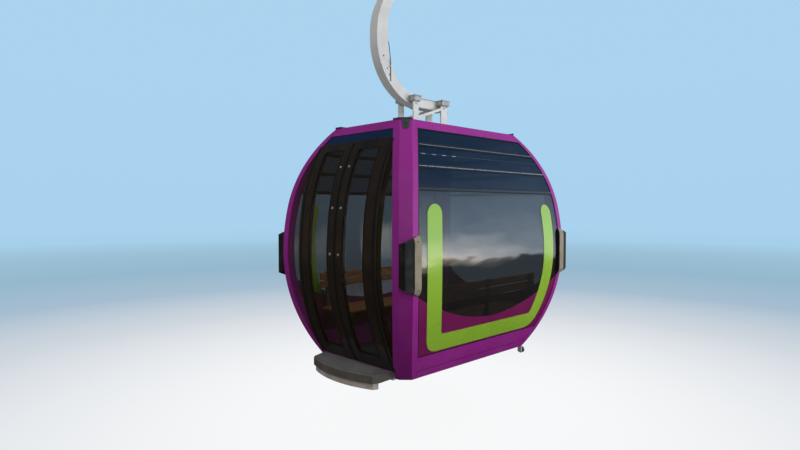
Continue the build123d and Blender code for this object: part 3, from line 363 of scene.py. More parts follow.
def piece(name, bm, finish, body="cabin", replaces=()):
    """Turn a mesh under construction into a piece that rides on a body."""
    bmesh.ops.remove_doubles(bm, verts=bm.verts, dist=SAME_POINT)
    bmesh.ops.recalc_face_normals(bm, faces=bm.faces)
    mesh = mesh_from(name, bm)
    mesh.materials.append(MAT[finish])
    mesh.shade_smooth()
    mesh.set_sharp_from_angle(angle=SMOOTH_BELOW)
    made = place(name, mesh)
    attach(made, body)
    if replaces:
        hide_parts(*replaces)
    return made


def softened(node_name, width, segments=2):
    """A copy of a CAD node whose hard edges are rounded; it stands for the node."""
    bm = bmesh.new()
    bm.from_mesh(NODES[node_name].data)
    bmesh.ops.remove_doubles(bm, verts=bm.verts, dist=SAME_CAD_POINT)
    bmesh.ops.dissolve_limit(bm, angle_limit=SAME_PLANE, verts=bm.verts, edges=bm.edges)
    sharp = [e for e in bm.edges if len(e.link_faces) == 2 and e.calc_face_angle() > HARD_ABOVE]
    bmesh.ops.bevel(bm, geom=sharp, offset=width, offset_type="OFFSET", segments=segments, profile=0.5,
                    affect="EDGES", clamp_overlap=True)
    made = piece(node_name + "_soft", bm, FINISH_OF[node_name], NODES[node_name]["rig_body"], [node_name])
    made.modifiers.new("even_normals", "WEIGHTED_NORMAL").keep_sharp = True
    return made


def sheet_on(bm, side, rows, out, thick, closed=False):
    """A thin plate on a wall, through rows of (along, height) points."""
    inner, outer = layers = [[[bm.verts.new(on_wall(side, a, h, level)) for a, h in row] for row in rows]
                             for level in (out, out + thick)]
    count, last = len(rows), len(rows[0]) - 1
    for index in range(count if closed else count - 1):
        after = (index + 1) % count
        for grid in layers:
            for step in range(last):
                bm.faces.new((grid[index][step], grid[after][step], grid[after][step + 1],
                              grid[index][step + 1]))
        for step in (0, last):
            bm.faces.new((inner[index][step], inner[after][step], outer[after][step], outer[index][step]))
    if not closed:
        for index in (0, count - 1):
            for step in range(last):
                bm.faces.new((inner[index][step], inner[index][step + 1], outer[index][step + 1],
                              outer[index][step]))


def strip(bm, side, first, second, out, thick, across=1, closed=False):
    """A thin plate on a wall between two lines of (along, height) points."""
    rows = [[(a[0] + (b[0] - a[0]) * n / across, a[1] + (b[1] - a[1]) * n / across)
             for n in range(across + 1)] for a, b in zip(first, second)]
    sheet_on(bm, side, rows, out, thick, closed)


def spread(low, high, count):
    """Evenly spaced numbers."""
    return [low + (high - low) * n / (count - 1) for n in range(count)]


def band(bm, side, level, half, start, end, out, thick, count):
    """A level strip along a wall."""
    line = spread(start, end, count)
    strip(bm, side, [(a, level - half) for a in line], [(a, level + half) for a in line], out, thick)


def length_of(line):
    """The length of a line of points."""
    return sum(dist(a, b) for a, b in zip(line, line[1:]))


def between(a, b, t):
    """A point part of the way from one to another."""
    return a[0] + (b[0] - a[0]) * t, a[1] + (b[1] - a[1]) * t


def cut_line(line, start, end):
    """The stretch of a line between two distances from its start."""
    done, kept = 0.0, []
    for a, b in zip(line, line[1:]):
        step = dist(a, b)
        for target in (start, end):
            if done <= target <= done + step and step > 0:
                kept.append((target, between(a, b, (target - done) / step)))
        done += step
        if start < done < end:
            kept.append((done, b))
    kept.sort(key=lambda item: item[0])
    return [point for _, point in kept]


def even(line, count):
    """The same line with count evenly spaced points."""
    total = length_of(line)
    points = []
    for n in range(count):
        target, done = total * n / (count - 1), 0.0
        for a, b in zip(line, line[1:]):
            step = dist(a, b)
            if done + step >= target - 1e-9:
                points.append(between(a, b, (target - done) / step if step else 0.0))
                break
            done += step
    return points


def bend(start, corner, end, steps):
    """Points on the curve that turns at a corner, without its ends."""
    return [tuple((1 - t) ** 2 * start[k] + 2 * t * (1 - t) * corner[k] + t * t * end[k] for k in (0, 1))
            for t in (n / steps for n in range(1, steps))]


def rounded(lines, radius):
    """Joined lines round a loop, with a curve of the given reach at each corner."""
    per_side, per_corner = 24, 7
    radius = max(radius, 1e-4)
    loop = []
    for line, following in zip(lines, lines[1:] + lines[:1]):
        total = length_of(line)
        start = cut_line(line, total - radius, total - radius)[0]
        end = cut_line(following, radius, radius)[0]
        loop += even(cut_line(line, radius, total - radius), per_side)
        loop += bend(start, line[-1], end, per_corner)
    return loop


def opening_loop(low, high, left, right, inset, radius):
    """The closed line round an opening, drawn in by inset, with rounded corners."""
    low, high = low + inset, high - inset
    lines = [[(left(low) + inset, low), (right(low) - inset, low)],
             [(right(h) - inset, h) for h in spread(low, high, 24)],
             [(right(high) - inset, high), (left(high) + inset, high)],
             [(left(h) + inset, h) for h in spread(high, low, 24)]]
    return rounded(lines, radius)


def frame_round(bm, side, low, high, left, right, width, out, thick, radius=0.012):
    """A seal or frame round an opening."""
    strip(bm, side, opening_loop(low, high, left, right, 0.0, radius),
          opening_loop(low, high, left, right, width, radius), out, thick, 2, True)


def pane(bm, side, low, high, left, right, rows):
    """A curved pane between two heights and two side lines."""
    heights = spread(low, high, rows)
    strip(bm, side, [(left(h), h) for h in heights], [(right(h), h) for h in heights],
          GLASS_OUT - GLASS_THICK, GLASS_THICK)


def oriented(point, normal, spin=0.0):
    """A matrix whose Z is the normal."""
    turn = Vector(normal).normalized().to_track_quat("Z", "Y").to_matrix().to_4x4()
    return Matrix.Translation(Vector(point)) @ turn @ Matrix.Rotation(spin, 4, "Z")


def lathe(bm, profile, matrix, steps=24):
    """A turned solid: profile is (radius, along) from one end to the other."""
    rings = []
    for radius, along in profile:
        angles = [tau * n / steps for n in range(steps if radius > 1e-6 else 1)]
        rings.append([bm.verts.new(matrix @ Vector((radius * cos(a), radius * sin(a), along)))
                      for a in angles])
    for a, b in zip(rings, rings[1:]):
        for n in range(steps):
            m = (n + 1) % steps
            if len(a) == 1:
                bm.faces.new((a[0], b[n], b[m]))
            elif len(b) == 1:
                bm.faces.new((a[n], b[0], a[m]))
            else:
                bm.faces.new((a[n], b[n], b[m], a[m]))


def screw(bm, point, normal, radius=0.006, height=0.0022):
    """A low domed screw head with a round socket."""
    socket = 0.5 * radius
    lathe(bm, [(0, -height), (radius, -height), (radius, 0.35 * height), (0.8 * radius, 0.8 * height),
               (socket, height), (socket, 0.2 * height), (0, 0.2 * height)], oriented(point, normal), 12)


def bolt(bm, point, normal, across, height, shank=0.0):
    """A hexagonal bolt head on a washer, with some thread past it where shank is given."""
    matrix = oriented(point, normal)
    lathe(bm, [(0, 0), (1.25 * across, 0), (1.25 * across, 0.18 * height), (0, 0.18 * height)], matrix, 20)
    lathe(bm, [(0, 0.15 * height), (across, 0.15 * height), (across, 0.9 * height), (0.86 * across, height),
               (0, height)], matrix, 6)
    if shank:
        lathe(bm, [(0, 0.9 * height), (0.5 * across, 0.9 * height), (0.5 * across, height + 0.8 * shank),
                   (0.42 * across, height + shank), (0, height + shank)], matrix, 12)


def block(bm, low, high, bevel=0.001, segments=1):
    """A box with rounded edges."""
    made = bmesh.ops.create_cube(bm, size=1.0)["verts"]
    for v in made:
        v.co = Vector([(c + 0.5) * (b - a) + a for c, a, b in zip(v.co, Vector(low), Vector(high))])
    edges = list({e for v in made for e in v.link_edges})
    bmesh.ops.bevel(bm, geom=edges, offset=bevel, segments=segments, profile=0.5, affect="EDGES",
                    offset_type="OFFSET", clamp_overlap=True)


def slab(bm, x, y, half_x, half_y, low, high, bevel=0.001, segments=1):
    """A flat block round an upright line."""
    block(bm, (x - half_x, y - half_y, low), (x + half_x, y + half_y, high), bevel, segments)


def tube(bm, points, radius, sides=8):
    """A round bar along a line of points."""
    rings = []
    for n, point in enumerate(points):
        before, after = points[max(0, n - 1)], points[min(len(points) - 1, n + 1)]
        along = (Vector(after) - Vector(before)).normalized()
        if n == 0:
            across = along.orthogonal().normalized()
        else:
            across = (across - along * across.dot(along)).normalized()
        other = along.cross(across)
        rings.append([bm.verts.new(Vector(point) + radius * (cos(a) * across + sin(a) * other))
                      for a in (tau * k / sides for k in range(sides))])
    skin(bm, rings)


def skin(bm, rings):
    """Faces between rings of points, closed at both ends."""
    for a, b in zip(rings, rings[1:]):
        for k in range(len(a)):
            m = (k + 1) % len(a)
            bm.faces.new((a[k], a[m], b[m], b[k]))
    bm.faces.new(rings[0])
    bm.faces.new(list(reversed(rings[-1])))


# Shell: soft-edged copies of the hard solids
EDGE_WIDTHS = {
    "top_rails": 0.003, "bottom_rails": 0.003, "roof_panel": 0.003, "roof_corner_caps": 0.004,
    "corner_bumpers": 0.004, "bumper_plates": 0.0025, "sill_lip": 0.003, "hanger_arm": 0.005,
    "hanger_legs": 0.002, "hanger_heads": 0.003, "floor_beams": 0.003, "bench_slats_front": 0.002,
    "bench_slats_rear": 0.002, "bench_brackets_front": 0.002, "bench_brackets_rear": 0.002,
    "arm_conduit": 0.004, "drive_plate": 0.002, "door_frame": 0.002, "door_leaf_left": 0.002,
    "door_leaf_right": 0.002,
}
POST_EDGE, SILL_EDGE, TREAD_FACES_UP = 0.010, 0.004, 0.35
for name in POSTS:
    softened(name, POST_EDGE, 3)
for name, width in EDGE_WIDTHS.items():
    softened(name, width)
sill = softened("door_sill", SILL_EDGE)
sill.data.materials.append(MAT["sill_rim"])
for face in sill.data.polygons:
    face.material_index = 1 if face.normal.z < TREAD_FACES_UP else 0

# Glass: a main pane and three vent panes on each end and on the back
LEVELS = list(zip([RAIL_LOW] + [b + BAR / 2 for b in BARS], [b - BAR / 2 for b in BARS] + [RAIL_HIGH]))
SMILE_LOW, SMILE_RISE, SMILE_POWER = 0.467, 0.268, 1.9
SMILE_STRETCH = {"front": 1.0, "rear": 1.0, "back": 1.36}
FILM_OUT, FILM_THICK, ON_GLASS = GLASS_OUT + 0.0001, 0.0006, GLASS_OUT + 0.0002
SEAL, SEAL_IN, SEAL_THICK = 0.009, 0.001, 0.005
DASH_LEVEL, DASH_START, DASH_PITCH, DASH, DASHES = 1.889, 0.066, 0.127, 0.050, 4
# Light lines along the vents, painted highlight where the bars' edges catch the light: height, half the
# width, how far out, finish
VENT_HIGHLIGHTS = ((BARS[1], 0.0024, -0.0005, "trim_and_highlight"), (BARS[2], 0.0016, -0.0005, "trim_and_highlight"),
              (DASH_LEVEL, 0.0011, ON_GLASS, "faint_highlight"))
LINE_SHORT, LINE_THICK, DASH_HALF, DASH_THICK = 0.012, 0.002, 0.003, 0.0035


def smile(along, stretch):
    """The height of the film's curved upper edge."""
    return SMILE_LOW + SMILE_RISE * abs(stretch * along) ** SMILE_POWER


def film_row(side, share, stretch):
    """One line of the film from the sill of the window up to the film's edge."""
    top = SMILE_LOW
    for _ in range(6):
        top = smile(share * field_edge(side, top), stretch)
    return [(share * field_edge(side, h), h) for h in spread(RAIL_LOW, top, 9)]


for side, stretch in SMILE_STRETCH.items():
    main, vents = ("back_glass", "back_glass") if side == "back" else ("glass", "vent_glass")
    bm = bmesh.new()
    pane(bm, side, *LEVELS[0], *edges_of(side), 40)
    piece(f"main_pane_{side}", bm, main, replaces=[f"window_{side}"])
    bm, seals = bmesh.new(), bmesh.new()
    for level in LEVELS[1:]:
        pane(bm, side, *level, *edges_of(side), 8)
    piece(f"vent_panes_{side}", bm, vents)
    bm = bmesh.new()
    sheet_on(bm, side, [film_row(side, share, stretch) for share in spread(-1.0, 1.0, 41)], FILM_OUT,
             FILM_THICK)
    piece(f"lower_film_{side}", bm, "film")
    for level in LEVELS:
        frame_round(seals, side, *level, *edges_of(side), SEAL, GLASS_OUT - SEAL_IN, SEAL_THICK)
    piece(f"window_seals_{side}", seals, "rubber")
    # The light lines along the vents are painted highlight
    for number, (level, half, out, finish) in enumerate(VENT_HIGHLIGHTS):
        bm = bmesh.new()
        wide = field_edge(side, level) - LINE_SHORT
        band(bm, side, level, half, -wide, wide, out, LINE_THICK, 9)
        piece(f"vent_highlight_{number}_{side}", bm, finish)
    bm = bmesh.new()
    for number in range(DASHES):
        middle = DASH_PITCH * number - field_edge(side, DASH_LEVEL) + DASH_START
        band(bm, side, DASH_LEVEL, DASH_HALF, middle - DASH / 2, middle + DASH / 2, ON_GLASS, DASH_THICK, 2)
    piece(f"vent_catches_{side}", bm, "trim_and_highlight")

# The stripe on each end: down one side, along the bottom and up the other side
STRIPE_OUTER, STRIPE_INNER, STRIPE_TOP = 0.245, 0.420, 1.480
STRIPE_LOW, STRIPE_LOW_IN, STRIPE_ROUND = 0.240, 0.395, 0.0875
STRIPE_SHOULDER = STRIPE_TOP - STRIPE_ROUND
STRIPE_TURN, STRIPE_TURN_IN = 0.13, 0.035
STRIPE_TIP = 8.2  # steps of the rounded upper end, which stops just short of its tip


def stripe_line(edge, low, radius):
    """One side of the stripe's half, from its upper end to the middle of its foot."""
    upright = [(reach(h) + EXTRA - edge, h) for h in spread(STRIPE_SHOULDER, low, 40)]
    foot = [(upright[-1][0], low), (0.0, low)]
    upright = cut_line(upright, 0.0, length_of(upright) - radius)
    rest = cut_line(foot, radius, length_of(foot))
    return even(upright, 26) + bend(upright[-1], foot[0], rest[0], 10) + even(rest, 18)


def stripe_loop():
    """Both edges of the whole stripe, with its rounded upper ends."""
    outer = stripe_line(STRIPE_OUTER, STRIPE_LOW, STRIPE_TURN)
    inner = stripe_line(STRIPE_INNER, STRIPE_LOW_IN, STRIPE_TURN_IN)
    middle = (outer[0][0] + inner[0][0]) / 2
    half = (outer[0][0] - inner[0][0]) / 2
    for n in range(1, int(STRIPE_TIP) + 1):
        angle = pi / 2 * n / STRIPE_TIP
        height = STRIPE_SHOULDER + half * sin(angle)
        lean = reach(height) - reach(STRIPE_SHOULDER)
        outer.insert(0, (middle + lean + half * cos(angle), height))
        inner.insert(0, (middle + lean - half * cos(angle), height))
    other_outer, other_inner = ([(-y, h) for y, h in reversed(line[:-1])] for line in (outer, inner))
    return outer + other_outer, inner + other_inner


# Seen on the pane and, through the cabin, on its inner face
for side in ENDS:
    bm = bmesh.new()
    strip(bm, side, *stripe_loop(), FILM_OUT + FILM_THICK + 0.0001, 0.0012, 6)
    strip(bm, side, *stripe_loop(), GLASS_OUT - GLASS_THICK - 0.0010, 0.0006, 6)
    piece(f"stripe_{side}", bm, "stripe")

# Doors: smooth panes, seals, edge strips and the small catches beside the seam
LEAF_GLASS_IN, LEAF_GLASS_OUT, LEAF_GLASS_LOW, LEAF_GLASS_HIGH = 0.100, 0.379, 0.186, 1.960
HEADER_LOW, LEAF_LOW = 2.036, 0.076
SEAL_OUT, LEAF_SEAL = 0.007, 0.014
CATCH_HEIGHTS, CATCH_X, CATCH_SCREW = (1.045, 1.445, 1.805), 0.058, 0.034
CATCH = [(0, -0.004), (0.012, -0.004), (0.012, 0.002), (0.010, 0.005), (0.004, 0.006), (0, 0.006)]
bm, seals = bmesh.new(), bmesh.new()
for low_x, high_x in ((LEAF_GLASS_IN, LEAF_GLASS_OUT), (-LEAF_GLASS_OUT, -LEAF_GLASS_IN)):
    pane(bm, "door", LEAF_GLASS_LOW, LEAF_GLASS_HIGH, lambda h: low_x, lambda h: high_x, 60)
    frame_round(seals, "door", LEAF_GLASS_LOW - SEAL_OUT, LEAF_GLASS_HIGH + SEAL_OUT,
                lambda h: low_x - SEAL_OUT, lambda h: high_x + SEAL_OUT, LEAF_SEAL, -0.003, 0.0045, 0.03)
piece("leaf_panes", bm, "door_glass", replaces=["door_glass"])
heights = spread(LEAF_LOW, DOOR_HIGH, 40)
for low_x, high_x in ((LEAF_SEAM, 0.015), (LEAF_EDGE - 0.014, LEAF_EDGE),
                      (DOOR_HALF + 0.001, DOOR_HALF + 0.008)):
    for sign in BOTH:
        strip(seals, "door", [(sign * low_x, h) for h in heights], [(sign * high_x, h) for h in heights],
              -0.001, 0.003)
piece("door_seals", seals, "rubber")
left, right = edges_of("door")
bm = bmesh.new()
pane(bm, "door", HEADER_LOW, RAIL_HIGH, left, right, 8)
piece("header_pane", bm, "header_glass", replaces=["door_wall_panes"])
bm = bmesh.new()
pane(bm, "door", DOOR_LOW, DOOR_HIGH, lambda h: DOOR_HALF + JAMB, right, 60)
pane(bm, "door", DOOR_LOW, DOOR_HIGH, left, lambda h: -DOOR_HALF - JAMB, 60)
piece("side_panes", bm, "door_glass")
bm, screws = bmesh.new(), bmesh.new()
for height in CATCH_HEIGHTS:
    out = wall_normal("door", height)
    for x in (-CATCH_X, CATCH_X):
        lathe(bm, CATCH, oriented(on_wall("door", x, height, 0.002), out, pi / 6), 6)
        for lift in (-CATCH_SCREW, CATCH_SCREW):
            screw(screws, on_wall("door", x, height + lift, 0.001), out)
piece("door_catches", bm, "galvanised_dark")
piece("door_screws", screws, "dark_steel")

# Rails, bumpers, caps and roof: seams, screws, rivets and beads
SEAM_LEVEL, SEAM_HALF, RAIL_SCREW_LEVEL = 0.0805, 0.002, 0.104
RAIL_SCREWS = {"front": (0.180, 0.400, 0.745), "rear": (0.180, 0.400, 0.745), "back": (0.20, 0.45)}
seams, screws = bmesh.new(), bmesh.new()
for side, places in RAIL_SCREWS.items():
    wide = field_edge(side, 0.08) + 0.02
    band(seams, side, SEAM_LEVEL, SEAM_HALF, -wide, wide, -0.0003, 0.0012, 15)
    for place_y in places:
        for along in (-place_y, place_y):
            screw(screws, on_wall(side, along, RAIL_SCREW_LEVEL, 0.001), wall_normal(side, RAIL_SCREW_LEVEL))
piece("rail_seams", seams, "livery_dark")
piece("rail_screws", screws, "dark_steel")
PLATE_Y, PLATE_X, PLATE_SCREW, PLATE_TILT = 1.0715, 0.8902, 0.186, 0.25
BUMPER_SCREW_SIZE, CAP_SCREW_SIZE = (0.0065, 0.003), (0.007, 0.003)
BUMPER_Z = 1.002 - BODY_DROP
CAP_HEIGHT, CAP_IN, CAP_NORMAL = 2.154, 0.032, (0.46, 0.46, 0.757)
bumpers, caps = bmesh.new(), bmesh.new()
cap_far = reach(CAP_HEIGHT - 0.004) - CAP_IN
for sign_x, sign_y in CORNERS:
    for up in BOTH:
        screw(bumpers, (sign_x * PLATE_X, sign_y * PLATE_Y, BUMPER_Z + up * PLATE_SCREW),
              (sign_x, 0, up * PLATE_TILT), *BUMPER_SCREW_SIZE)
    screw(caps, (sign_x * cap_far, sign_y * (cap_far + EXTRA), CAP_HEIGHT - BODY_DROP),
          (sign_x * CAP_NORMAL[0], sign_y * CAP_NORMAL[1], CAP_NORMAL[2]), *CAP_SCREW_SIZE)
piece("bumper_screws", bumpers, "dark_steel")
piece("cap_screws", caps, "dark_steel")
ROOF_X, ROOF_Y, ROOF_SLOPE, ROOF_TOP, RIVET_IN = 0.4628, 0.7778, 0.034 / 0.27, -1.916, 0.020
RIVET_Z = BODY_HEIGHT - BODY_DROP + RIVET_IN * ROOF_SLOPE + 0.001
RIVETS_X, RIVETS_Y = (-0.33, 0.33, 6), (-0.62, 0.62, 9)
BEAD, BEAD_X, BEAD_Y, BEAD_LONG, BEAD_SHORT = 0.013, 0.168, 0.405, 0.47, 0.16
rivets, beads = bmesh.new(), bmesh.new()
for sign in BOTH:
    for y in spread(*RIVETS_Y):
        screw(rivets, (sign * (ROOF_X - RIVET_IN), y, RIVET_Z), (sign * ROOF_SLOPE, 0, 1))
    for x in spread(*RIVETS_X):
        screw(rivets, (x, sign * (ROOF_Y - RIVET_IN), RIVET_Z), (0, sign * ROOF_SLOPE, 1))
    for x, y, half_x, half_y in ((sign * BEAD_X, 0, BEAD, BEAD_LONG), (0, sign * BEAD_Y, BEAD_SHORT, BEAD)):
        slab(beads, x, y, half_x, half_y, ROOF_TOP - 0.004, ROOF_TOP + 0.005, 0.004, 3)
piece("roof_rivets", rivets, "zinc")
piece("roof_beads", beads, "roof")

# Sill: fine ribs across the tread, as wide as its bowed outline, their lighter grey a painted highlight
TREAD_Z, SILL_MIDDLE_Y, SILL_CORNER_Y, SILL_CORNER_X, SILL_SIDE = -4.082, -1.193, -1.113, 0.410, 0.363
BOW = (SILL_CORNER_X ** 2 + (SILL_CORNER_Y - SILL_MIDDLE_Y) ** 2) / (2 * (SILL_CORNER_Y - SILL_MIDDLE_Y))
RIB_FIRST, RIB_LAST, RIB_PITCH, RIB_HALF, RIB_SHORT, BOW_IN = -0.945, -1.170, 0.0125, 0.0035, 0.026, 0.016
bm = bmesh.new()
y = RIB_FIRST
while y > RIB_LAST:
    half = SILL_CORNER_X + (y - SILL_CORNER_Y) * SILL_SIDE
    if y < SILL_CORNER_Y:
        depth = y - BOW_IN - SILL_MIDDLE_Y
        half = sqrt(max(0.0, 2 * BOW * depth - depth ** 2))
    half -= RIB_SHORT
    slab(bm, 0, y, half, RIB_HALF, TREAD_Z - 0.001, TREAD_Z + 0.0022, 0.0012)
    y -= RIB_PITCH
piece("sill_ribs", bm, "ribs")

# Hanger: flanges, pads, bolts and the lower end of the conduit
BEAM_LOW, BEAM_TOP, BEAM_HALF, BEAM_ENDS, FOOT_TOP = -1.725, -1.636, 0.056, (-0.20, 0.188), -1.902
FEET = ((-0.280, 0.035), (0.125, 0.045))  # each foot's middle and half its length
FOOT_X, FOOT_BOLT, HEAD_X, HEAD_BOLT_X, LEG_X = 0.100, 0.021, 0.092, 0.112, 0.107
PLATE, PAD_HALF, HEAD_HALF = 0.006, 0.037, 0.046
FOOT_BOLT_SIZE = (0.0085, 0.006, 0.006)
HEAD_BOLT_SIZE, PEG_SIZE = (0.008, 0.005, 0.004), (0.008, 0.005, 0.003)
flanges, pads, bolts, plates, pegs = (bmesh.new() for _ in range(5))
for low, high in ((BEAM_TOP - 0.003, BEAM_TOP + 0.004), (BEAM_LOW - 0.004, BEAM_LOW + 0.003)):
    block(flanges, (-BEAM_HALF, BEAM_ENDS[0], low), (BEAM_HALF, BEAM_ENDS[1], high))
for foot_y, half in FEET:
    for sign in BOTH:
        slab(pads, sign * FOOT_X, foot_y, PAD_HALF, half + 0.030, ROOF_TOP - 0.002, ROOF_TOP + 0.003)
        slab(plates, sign * HEAD_X, foot_y, HEAD_HALF, half + 0.014, BEAM_TOP, BEAM_TOP + PLATE)
        for across, end in CORNERS:
            bolt(bolts, (sign * FOOT_X + across * FOOT_BOLT, foot_y + end * (half + 0.010), FOOT_TOP), UP,
                 *FOOT_BOLT_SIZE)
        for end in BOTH:
            peg_y = foot_y + end * (half - 0.006)
            bolt(pegs, (sign * HEAD_BOLT_X, peg_y, BEAM_TOP + PLATE), UP, *HEAD_BOLT_SIZE)
            bolt(pegs, (sign * HEAD_BOLT_X, peg_y, BEAM_TOP - 0.045), DOWN, *PEG_SIZE)
        bolt(pegs, (sign * LEG_X, foot_y, BEAM_TOP - 0.070), (sign, 0, 0), *PEG_SIZE)
        if foot_y > 0:
            bolt(pegs, (sign * FOOT_X, foot_y + half, BEAM_LOW - 0.018), (0, 1, 0), 0.006, 0.010, 0.016)
piece("beam_flanges", flanges, "galvanised_dark")
piece("foot_pads", pads, "rubber")
piece("foot_bolts", bolts, "zinc")
piece("head_plates", plates, "galvanised_dark")
piece("head_bolts", pegs, "galvanised_dark")
# The conduit's foot tapers down along the inside of the arm's bend
BEND_Y, BEND_Z, BEND_R = -0.138, -1.181, 0.455
TAPER, TAPER_ROWS = 0.185, 12
bm, rows = bmesh.new(), []
for n in range(TAPER_ROWS + 1):
    share = n / TAPER_ROWS
    z = BEND_Z + 0.002 - TAPER * (1 - share)
    inner = BEND_Y - (sqrt(max(0.0, BEND_R ** 2 - (z - BEND_Z) ** 2)) if z < BEND_Z else BEND_R)
    proud, half = 0.002 + 0.010 * share, 0.010 + 0.007 * share
    outline = ((-half, inner - 0.002), (half, inner - 0.002), (half, inner + proud), (-half, inner + proud))
    rows.append([bm.verts.new((x, y, z)) for x, y in outline])
skin(bm, rows)
piece("conduit_foot", bm, "rubber")
ARM_LINE = [(0.0535, -0.563, -1.530), (0.0535, -0.5645, -1.400), (0.0535, -0.569, -1.320),
            (0.050, -0.583, -1.200), (0.040, -0.594, -1.140)]
ARM_BOLTS = ((-0.649, -1.310), (-0.603, -1.417), (-0.577, -1.472), (-0.563, -1.524))
ARM_CLIPS = ((-0.5645, -1.395), (-0.567, -1.350))
ARM_SIDE, LINE_RADIUS, ARM_BOLT_SIZE = 0.050, 0.0032, (0.0075, 0.006, 0.003)
bm = bmesh.new()
tube(bm, ARM_LINE, LINE_RADIUS)
piece("arm_line", bm, "dark_steel")
bm = bmesh.new()
for y, z in ARM_BOLTS:
    bolt(bm, (ARM_SIDE, y, z), (1, 0, 0), *ARM_BOLT_SIZE)
for y, z in ARM_CLIPS:
    block(bm, (0.048, y - 0.013, z - 0.006), (0.059, y + 0.009, z + 0.006), 0.0015)
piece("arm_bolts", bm, "galvanised_dark")


# Grip: wheels, springs, bolts and pin ends

def mirrored(profile):
    """A closed profile from its first half."""
    return profile + [(radius, -along) for radius, along in reversed(profile)] + profile[:1]


def wheel(name, middle, radius, bore, width):
    """A tyre for a roller node, a hub and its bolts, on the body of that name; the axle runs along Y."""
    seat, half, edge = 0.70 * radius, width / 2, 0.10 * radius
    matrix = oriented(middle, DOORWARD)
    tyre, hub, ring = bmesh.new(), bmesh.new(), bmesh.new()
    lathe(tyre, mirrored([(seat, -half + 0.001), (radius - edge, -half),
                          (radius - 0.3 * edge, -half + 0.3 * edge), (radius, -half + edge)]), matrix, 48)
    piece(name + "_tyre", tyre, "wheel", name, [name.replace("wheel", "roller")])
    web, boss = 0.30 * half, bore + 0.22 * radius
    lathe(hub, mirrored([(bore, -half), (boss, -half), (boss + 0.001, -web), (seat - 0.003, -web),
                         (seat - 0.002, -half + 0.0015), (seat, -half + 0.0015)]), matrix, 48)
    piece(name + "_hub", hub, "hub", name)
    away = (boss + seat) / 2
    for angle in (tau * n / 5 for n in range(5)):
        for sign in BOTH:
            spot = matrix @ Vector((away * cos(angle), away * sin(angle), sign * web))
            bolt(ring, spot, (0, -sign, 0), 0.055 * radius, 0.05 * radius)
    piece(name + "_bolts", ring, "dark_steel", name)


RUN = 0.00008  # running clearance round the axles
RUNNING_X, RUNNING_Y, RUNNING_Z, GUIDE_X, GUIDE_Z = 0.165, -0.3145, 0.022, 0.500, -4.220
RUNNING_RADIUS, GUIDE_RADIUS, LEVER_RADIUS, LEVER_WHEEL = 0.052, 0.033, 0.034, (0, -0.3225, 0.176)
ROLLER_AXLE, ROLLER_WIDTH, GUIDE_AXLE, GUIDE_WIDTH = 0.012, 0.034, 0.007, 0.036
for name, sign in zip(ENDS, (1, -1)):
    wheel(f"running_wheel_{name}", (sign * RUNNING_X, RUNNING_Y, RUNNING_Z), RUNNING_RADIUS,
          ROLLER_AXLE + RUN, ROLLER_WIDTH)
    guide_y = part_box(f"guide_roller_{name}")[0].y + GUIDE_WIDTH / 2
    wheel(f"guide_wheel_{name}", (sign * GUIDE_X, guide_y, GUIDE_Z), GUIDE_RADIUS, GUIDE_AXLE + RUN,
          GUIDE_WIDTH)
wheel("lever_wheel", LEVER_WHEEL, LEVER_RADIUS, ROLLER_AXLE + RUN, ROLLER_WIDTH)
# Each jaw spring: its place, its top and the share of its height that an open jaw leaves
SPRINGS = {"inner": (-0.178, 0.1366, 0.36), "outer": (-0.238, 0.1470, 0.27)}
CUP_TOP, ROD, ROD_EDGE = 0.106, 0.0099, 0.0015
COIL, WIRE, TURNS = 0.0165, 0.0028, 5
bm = bmesh.new()
for y, top, _ in SPRINGS.values():
    lathe(bm, [(0, CUP_TOP - 0.0005), (ROD, CUP_TOP - 0.0005), (ROD, top - ROD_EDGE), (ROD - ROD_EDGE, top),
               (0, top)], Matrix.Translation((0, y, 0)), 20)
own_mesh(piece("spring_cores", bm, "pin_steel", "grip", ["spring_rods"]))
for name, (y, top, keep) in SPRINGS.items():
    bm = bmesh.new()
    low, high = CUP_TOP + WIRE, top - WIRE - 0.0006
    tube(bm, [(COIL * cos(a), y + COIL * sin(a), low + (high - low) * a / (tau * TURNS))
              for a in spread(0, tau * TURNS, 16 * TURNS + 1)], WIRE, 6)
    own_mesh(piece(f"jaw_spring_{name}", bm, "spring", "grip"))
BACKBONE_TOP, DRIVE_TOP, PIN_Z, GRIP_BOLT = 0.086, 0.2276, -0.040, (0.009, 0.007)
SIDE_BOLT, WASHER, PIN_END, NIPPLE = (0.120, -0.046, 0.046), (0.0552, -0.070, 0.125), -0.299, -0.306
DRIVE_SCREW_X, DRIVE_SCREWS = 0.190, (-0.275, -0.195)
TOP_BOLTS = [(x, y) for x in (-0.095, 0.095) for y in (-0.142, -0.050)] + [(0.145, -0.269), (-0.145, -0.269)]
bm = bmesh.new()
for x, y in TOP_BOLTS:
    bolt(bm, (x, y, BACKBONE_TOP), UP, *GRIP_BOLT)
for sign in BOTH:
    bolt(bm, (sign * SIDE_BOLT[0], *SIDE_BOLT[1:]), (sign, 0, 0), *GRIP_BOLT)
    lathe(bm, [(0.0145, 0), (0.020, 0), (0.020, 0.0016), (0.0145, 0.0016), (0.0145, 0)],
          oriented((sign * WASHER[0], *WASHER[1:]), (sign, 0, 0)))
    for y in DRIVE_SCREWS:
        screw(bm, (sign * DRIVE_SCREW_X, y, DRIVE_TOP), UP, 0.007)
piece("grip_bolts", bm, "zinc", "grip")
bm = bmesh.new()
lathe(bm, [(0, 0), (0.018, 0), (0.016, 0.004), (0.010, 0.007), (0, 0.007)],
      oriented((0, PIN_END, PIN_Z), DOORWARD))
lathe(bm, [(0, 0), (0.004, 0), (0.004, 0.004), (0.0025, 0.006), (0.003, 0.009), (0, 0.010)],
      oriented((0, NIPPLE, PIN_Z), DOORWARD), 12)
piece("pin_nipple", bm, "zinc", "grip")

